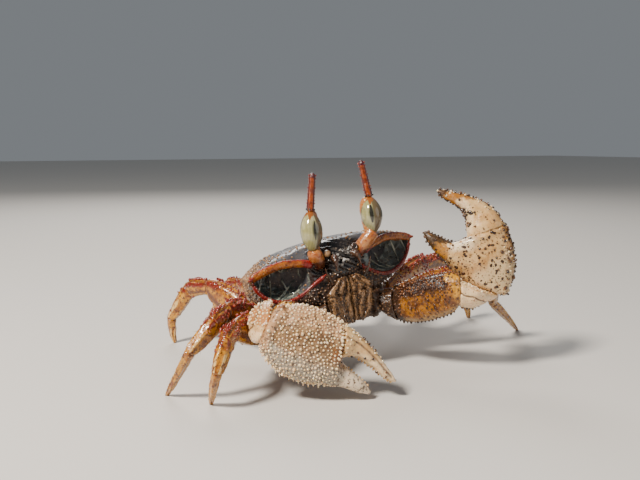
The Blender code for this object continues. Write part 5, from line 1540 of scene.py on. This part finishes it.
def claw_merus(label, start, end, collar_way, elbow_way, thin, face):
    """The upper arm: three-edged, granular above, with a bright knob at the elbow."""
    merus = loft("claw_" + label + "_upper_arm",
                 limb_rings(start, end, collar_way, elbow_way, thin, MERUS_ROWS), arm_finish)
    knead(merus, 0.32, 4)
    t, high = limb_marks(merus, start, end)
    soften(merus, hump(1 - t, 0.06) + hump(t, 0.06), 18)
    out = normals_of(merus) @ face
    push(merus, 0.16 * wrinkle(spots_of(merus), 1.8, 8))
    knob = hump(t - 0.93, 0.07) * ease(0.1, 0.7, high)
    push(merus, 0.5 * knob)
    knob = np.maximum(knob, 0.5 * ease(0.88, 0.99, t) * ease(-0.9, 0.3, high))
    beads = np.clip(ease(-0.2, 0.3, high) + 0.55 * ease(0.2, 0.6, out) * ease(-0.7, 0.0, high), 0, 1)
    paint(
        merus,
        granular=ease(-0.25, 0.35, high) * ease(1.0, 0.86, t),
        pale=ease(-0.2, -0.7, high) * 0.7,
        knob=knob,
        # Darker towards the body: partly dirt, partly painted shade.
        root=ease(0.28, 0.0, t) * 0.9,
        beads=beads * ease(0.0, 0.06, t) * ease(1, 0.96, t),
        dark=0.22 * ease(0.1, 0.5, out) + 0.3 * knob,
    )
    granules(merus, "beads", 0.95, 0.36, 0.4, 21, arm_granules)
    granules(merus, "dark", 1.3, 0.28, 0.5, 22, dark_bead_finish)
    edges = []
    for way, reach, look in ((UPRIGHT, 6.3, arm_granules), (-UPRIGHT, 7.2, dark_bead_finish)):
        run = start + np.outer(np.linspace(0.05, 0.97, 30), end - start)
        line = snap(merus, run + way * reach + face * 0.8)
        edges.append(bead_row(line, 1.25, 0.44, way + face * 0.3, look, 23, height=1.5))
    join(merus, edges)
    wear(merus, "arm", "claw_" + label + "_merus")


def claw_carpus(label, space, start, elbow_way, thin):
    """The wrist: a rounded knuckle that fills the turn between the upper arm and the palm."""
    face, bulge = space[3], ARM[label]["bulge"]
    seat, seat_way = seat_plane(label, space, "seat")
    end = seat - seat_way * GAP
    (x0, z0), (x1, z1) = CLAW[label]["seat"]
    half_tall = math.hypot(x1 - x0, z1 - z0) / 2 - 0.4
    rise = unit(np.cross(thin, elbow_way))
    middle = (start + end) / 2
    cloud = [oval(start, np.cross(rise, elbow_way), rise, 3.4, 4.9, 24, 2.3),
             oval(end, face, unit(np.cross(seat_way, face)), 3.3, half_tall, 24, 2.3)]
    for angle in np.linspace(0, np.pi, 13):
        wide = bulge * math.sin(angle)
        cloud.append(oval(middle + UPRIGHT * (bulge * math.cos(angle)), (1, 0, 0), (0, 1, 0), wide, wide))
    cloud = np.vstack(cloud)
    keep = ((cloud - start) @ elbow_way > -0.01) & ((cloud - end) @ seat_way < 0.01)
    carpus = hull_piece("claw_" + label + "_wrist", cloud[keep])
    necks = []
    for spot, way, across, wide, tall in ((start, elbow_way, np.cross(rise, elbow_way), 2.6, 3.9),
                                          (end, seat_way, face, 2.5, half_tall - 1.2)):
        steps = spot + np.outer((-1.0, -0.3, 0.3, 1.0), way)
        neck = [oval(step, across, unit(np.cross(way, across)), wide, tall, 24, 2.3) for step in steps]
        necks.append(loft("neck", neck))
    join(carpus, necks)
    knead(carpus, 0.32, 8)
    carpus.data.materials.append(carpus_finish)
    place = spots_of(carpus)
    to_seat, to_elbow = (end - place) @ seat_way, (place - start) @ elbow_way
    soften(carpus, np.clip(hump(to_seat, 1.2) + hump(to_elbow, 1.2), 0, 1), 14)
    level = (place[:, 2] - middle[2]) / bulge
    lobe = 0.8 * hump(level + 0.45, 0.35) * (label == "right")
    push(carpus, lobe + 0.45 * wrinkle(place, 3.6, 9) + 0.15 * wrinkle(place, 1.6, 2))
    high = normals_of(carpus)[:, 2]
    crease = hump(to_seat - 3.2 - 0.5 * wrinkle(place, 2.0), 0.35)
    push(carpus, -0.35 * crease)
    paint(carpus, crease=0.8 * crease)
    if label == "right":
        paint(carpus, granular=ease(-0.1, 0.4, level), smooth=ease(0.1, -0.3, level),
              beads=ease(-0.15, 0.25, level))
    else:
        paint(carpus, granular=ease(0.55, 0.95, high) * 0.15, smooth=ease(0.6, 0.2, high),
              beads=0.8 * ease(0.6, 0.9, high))
    granules(carpus, "beads", 1.05, 0.36, 0.4, 25, bead_finish)
    if label == "left":
        run = start + np.outer(np.linspace(0.0, 1.1, 16), end - start) + face * 2 - UPRIGHT * 9.0
        edge = bead_row(snap(carpus, run), 1.3, 0.42, face - UPRIGHT, dark_bead_finish, 26, height=1.3)
        join(carpus, [edge])
    wear(carpus, "arm", "claw_" + label + "_carpus")


for side, label in SIDES:
    elbow, wrist = np.array(ARM[label]["elbow"]), np.array(ARM[label]["wrist"])
    root, root_way = root_place(0, side)
    space = claw_frame(label)
    thin = space[3] * side
    collar = root + root_way * COLLAR_REACH
    arm_way = unit(elbow - collar)
    collar_way, elbow_way = unit(root_way + arm_way), unit(arm_way + unit(wrist - elbow))
    rings = limb_rings(root + root_way * GAP, collar - collar_way * HALF_GAP, root_way, collar_way, thin,
                       ISCHIUM_ROWS)
    piece = loft("claw_" + label + "_base", rings, arm_finish)
    knead(piece, 0.32, 3)
    push(piece, 0.25 * wrinkle(spots_of(piece), 1.6, 7))
    # The ischium takes the dark root colour all over: partly dirt, partly painted shade at the arm's base.
    paint(piece, root=0.8, beads=0.5)
    granules(piece, "beads", 1.1, 0.34, 0.4, 20, cheek_granules)
    wear(piece, "arm", "claw_" + label + "_ischium")
    claw_merus(label, collar + collar_way * HALF_GAP, elbow - elbow_way * HALF_GAP, collar_way, elbow_way,
               thin, space[3])
    claw_carpus(label, space, elbow + elbow_way * HALF_GAP, elbow_way, thin)


# Walking legs: eight, each a long flat merus, a short carpus, a propodus and a pointed dactyl.
# They are clear amber, redder and beaded at the knees, sparsely haired, with pale-striped tips;
# the pale stripes on the side ridges are partly painted highlights.
LEG_JOINTS = {
    "leg_1_left": [(49, 4, 26), (60, 5, 24), (67.5, 11.5, 14), (86.6, 19.7, 0)],
    "leg_2_left": [(52.8, 33.7, 26.3), (66, 38, 26), (80, 44, 9), (84, 46, 0)],
    "leg_3_left": [(45, 50, 30), (56, 58, 28), (68, 67, 12), (71, 69, 0)],
    "leg_4_left": [(29, 57, 28), (33, 64, 26), (39, 74, 13), (41, 76, 0)],
    "leg_1_right": [(-39.9, -4.5, 19.2), (-45.6, -13.0, 17.7), (-49.3, -15.5, 10.8), (-48.4, -8, 0)],
    "leg_2_right": [(-40.6, 0.7, 22.9), (-46.5, -5.5, 21.3), (-53.5, -6.1, 14.9), (-56.8, 5.4, 0)],
    "leg_3_right": [(-28, 48, 22), (-32, 57, 20), (-37, 63, 9), (-36, 63, 0)],
    "leg_4_right": [(-12, 60, 20), (-14, 67, 18), (-17, 73, 8), (-16, 73, 0)],
}
LEG_GIRTH = {1: 0.95, 2: 1.0, 3: 0.95, 4: 0.75}
LEG_COLLAR = 4.2
LEG_ROWS = {
    "merus": [(0.0, 6.2, 4.9, 0.1), (0.28, 8.2, 4.6, 0.3), (0.5, 10.2, 5.0, 0.3), (0.72, 10.0, 4.9, 0.2),
              (0.88, 8.4, 4.5, 0.2), (1.0, 6.4, 4.0, 0)],
    "carpus": [(0, 5.6, 3.8, 0), (0.3, 5.6, 4.2, 0.3), (0.7, 6.4, 4.6, 0.3), (1, 6.0, 4.2, 0)],
    "propodus": [(0, 5.6, 4.0, 0), (0.3, 5.4, 3.9, 0.2), (0.7, 4.6, 3.6, 0.1), (1, 3.6, 3.0, 0)],
    "dactyl": [(0, 3.3, 2.8, 0), (0.3, 3.1, 2.6, 0.2), (0.7, 2.2, 1.9, 0.3), (1, 1.1, 1.1, 0)],
}
leg_finish = finish(
    "leg", (0.50, 0.205, 0.010), (0.24, 0.062, 0.003), 330, (0.18, 0.38), (1700, 0.5, 0.5),
    layers=[
        ("clear", (0.56, 0.255, 0.012), 0.9, 350), ("knee", (0.17, 0.012, 0.004), 0.9, 450),
        # The pale stripe is partly a painted highlight.
        ("stripe", (0.70, 0.46, 0.17), 0.9, 700), ("under", (0.42, 0.20, 0.04), 0.5, 300),
        ("valley", (0.13, 0.035, 0.004), 0.9, 500),
    ],
    fleck=((0.11, 0.026, 0.003), 950, 0.50, 0.62), dots=[((0.56, 0.34, 0.12), 1100, 0.25, 0.25)],
    coat=0.5, soft=0.15, wet="wet",
)
red_granules = finish(
    "red_granules", (0.20, 0.030, 0.007), (0.38, 0.12, 0.025), 420, (0.2, 0.36), (2600, 0.3, 0.15), coat=0.5,
)


def mitre(before, joint, after):
    return unit(unit(joint - before) + unit(after - joint))


def leg_piece(name, kind, side_name, rings, start, end, girth):
    """One leg segment: its skin, the painted looks, knee beads, edge granules and hairs."""
    piece = loft(side_name, rings, leg_finish)
    t, high = limb_marks(piece, start, end)
    upper = kind in ("merus", "carpus")
    whole = ease(0.0, 0.08, t) * ease(1.0, 0.93, t)
    # Five low ridges run along each segment, with valleys between them.
    axis = unit(end - start)
    rise = unit(UPRIGHT - axis * axis[2])
    out = normals_of(piece)
    angle = np.arctan2(out @ np.cross(axis, rise), out @ rise)
    ridge = np.cos(angle * 5 + 0.5 * np.sin(t * 5))
    push(piece, girth * whole * (0.17 * ridge + 0.18 * wrinkle(spots_of(piece), 1.5, 2)))
    knee, beads = {
        "merus": (ease(0.70, 0.98, t), 0.6), "carpus": (0.65, 0.7),
        "propodus": (ease(0.35, 0.0, t) * 0.8, 0.5 * ease(0.5, 0.1, t)), "dactyl": (0, 0),
    }[kind]
    on_ridge = ease(-0.1, 0.6, ridge) * ease(-0.3, 0.3, high)
    # The pale stripe on the side ridges is partly a painted highlight.
    stripe = ease(0.15, 0.8, ridge) * ease(-0.75, -0.3, high) * ease(0.75, 0.45, high) * ease(0.1, 0.6, t)
    patches = ease(-0.5, 0.5, wrinkle(spots_of(piece), 3.0, 6))
    if kind == "dactyl":
        spots = spots_of(piece)
        spots[:, 2] = np.maximum(spots[:, 2], 0)
        move_to(piece, spots)
    off_floor = ease(2.2, 3.4, spots_of(piece)[:, 2])
    paint(
        piece,
        knee=knee * (0.15 + 0.85 * on_ridge) + 0.4 * on_ridge * (0.9 if upper else 0.3),
        stripe=0 if upper else stripe * (1.0 if kind == "dactyl" else 0.85),
        wet=0.7 * ease(0.0, 0.8, ridge),
        valley=ease(-0.2, -0.9, ridge) * (0.8 if upper else 0.4),
        clear=(0.35 if upper else 0.75) * patches,
        under=ease(-0.3, -0.8, high),
        beads=on_ridge * whole * beads + 0.06 * whole,
        hairy=(0.15 if upper else 0.6) * np.clip(np.abs(high), 0, 1) * off_floor,
    )
    if kind != "dactyl":
        granules(piece, "beads", 0.95, 0.36 * girth, 0.45, 31, crimson_finish if upper else red_granules)
        run = np.linspace(0.3 if kind == "merus" else 0.08, 0.95 if upper else 0.28, 24)
        run = start + np.outer(run, end - start)
        crests = []
        for lean in (-1.2, 0.3, 1.6):
            line = snap(piece, run + rise * 6.0 + np.cross(axis, rise) * lean * 2)
            crests.append(bead_row(line, 1.15, 0.46 * girth, rise, crimson_finish, 34, height=1.25))
        join(piece, crests)
    hairs(piece, 1.1, 1.4, axis, 1.2, 33)
    wear(piece, "leg", name + "_" + kind)


def leg(name, index, side):
    girth = LEG_GIRTH[index]
    knee, wrist, ankle, foot = [np.array(p, float) for p in LEG_JOINTS[name]]
    root, root_way = root_place(index, side)
    run = wrist - root
    flat = unit([run[0], run[1], 0])
    thin = np.array([flat[1], -flat[0], 0])
    knee_way = mitre(root, knee, wrist)
    wrist_way = mitre(knee, wrist, ankle)
    ankle_way = mitre(wrist, ankle, foot)
    collar = root + root_way * LEG_COLLAR
    across = unit([root_way[1], -root_way[0], 0])
    across = across if np.dot(across, thin) > 0 else -across
    rings = [oval(root + root_way * GAP * (1 - s) + root_way * LEG_COLLAR * s, across,
                  np.cross(across, root_way), (2.9 - 0.5 * s) * girth, 2.9 * girth, 32, 2.3)
             for s in np.linspace(0, 1, 6)[:-1]]
    for kind, start, stop, first, last in (
        ("merus", collar, knee - knee_way * HALF_GAP, root_way, knee_way),
        ("carpus", knee + knee_way * HALF_GAP, wrist - wrist_way * HALF_GAP, knee_way, wrist_way),
        ("propodus", wrist + wrist_way * HALF_GAP, ankle - ankle_way * HALF_GAP, wrist_way, ankle_way),
        ("dactyl", ankle + ankle_way * HALF_GAP, foot, ankle_way, -UPRIGHT),
    ):
        rows = [(t, height * girth, thick * girth, lift) for t, height, thick, lift in LEG_ROWS[kind]]
        rings += limb_rings(start, stop, first, last, thin, rows)
        skin = name + ("_upper" if kind == "merus" else "_" + kind + "_skin")
        leg_piece(name, kind, skin, rings, start, stop, girth)
        rings = []


for side, label in SIDES:
    for index in (1, 2, 3, 4):
        leg("leg_" + str(index) + "_" + label, index, side)
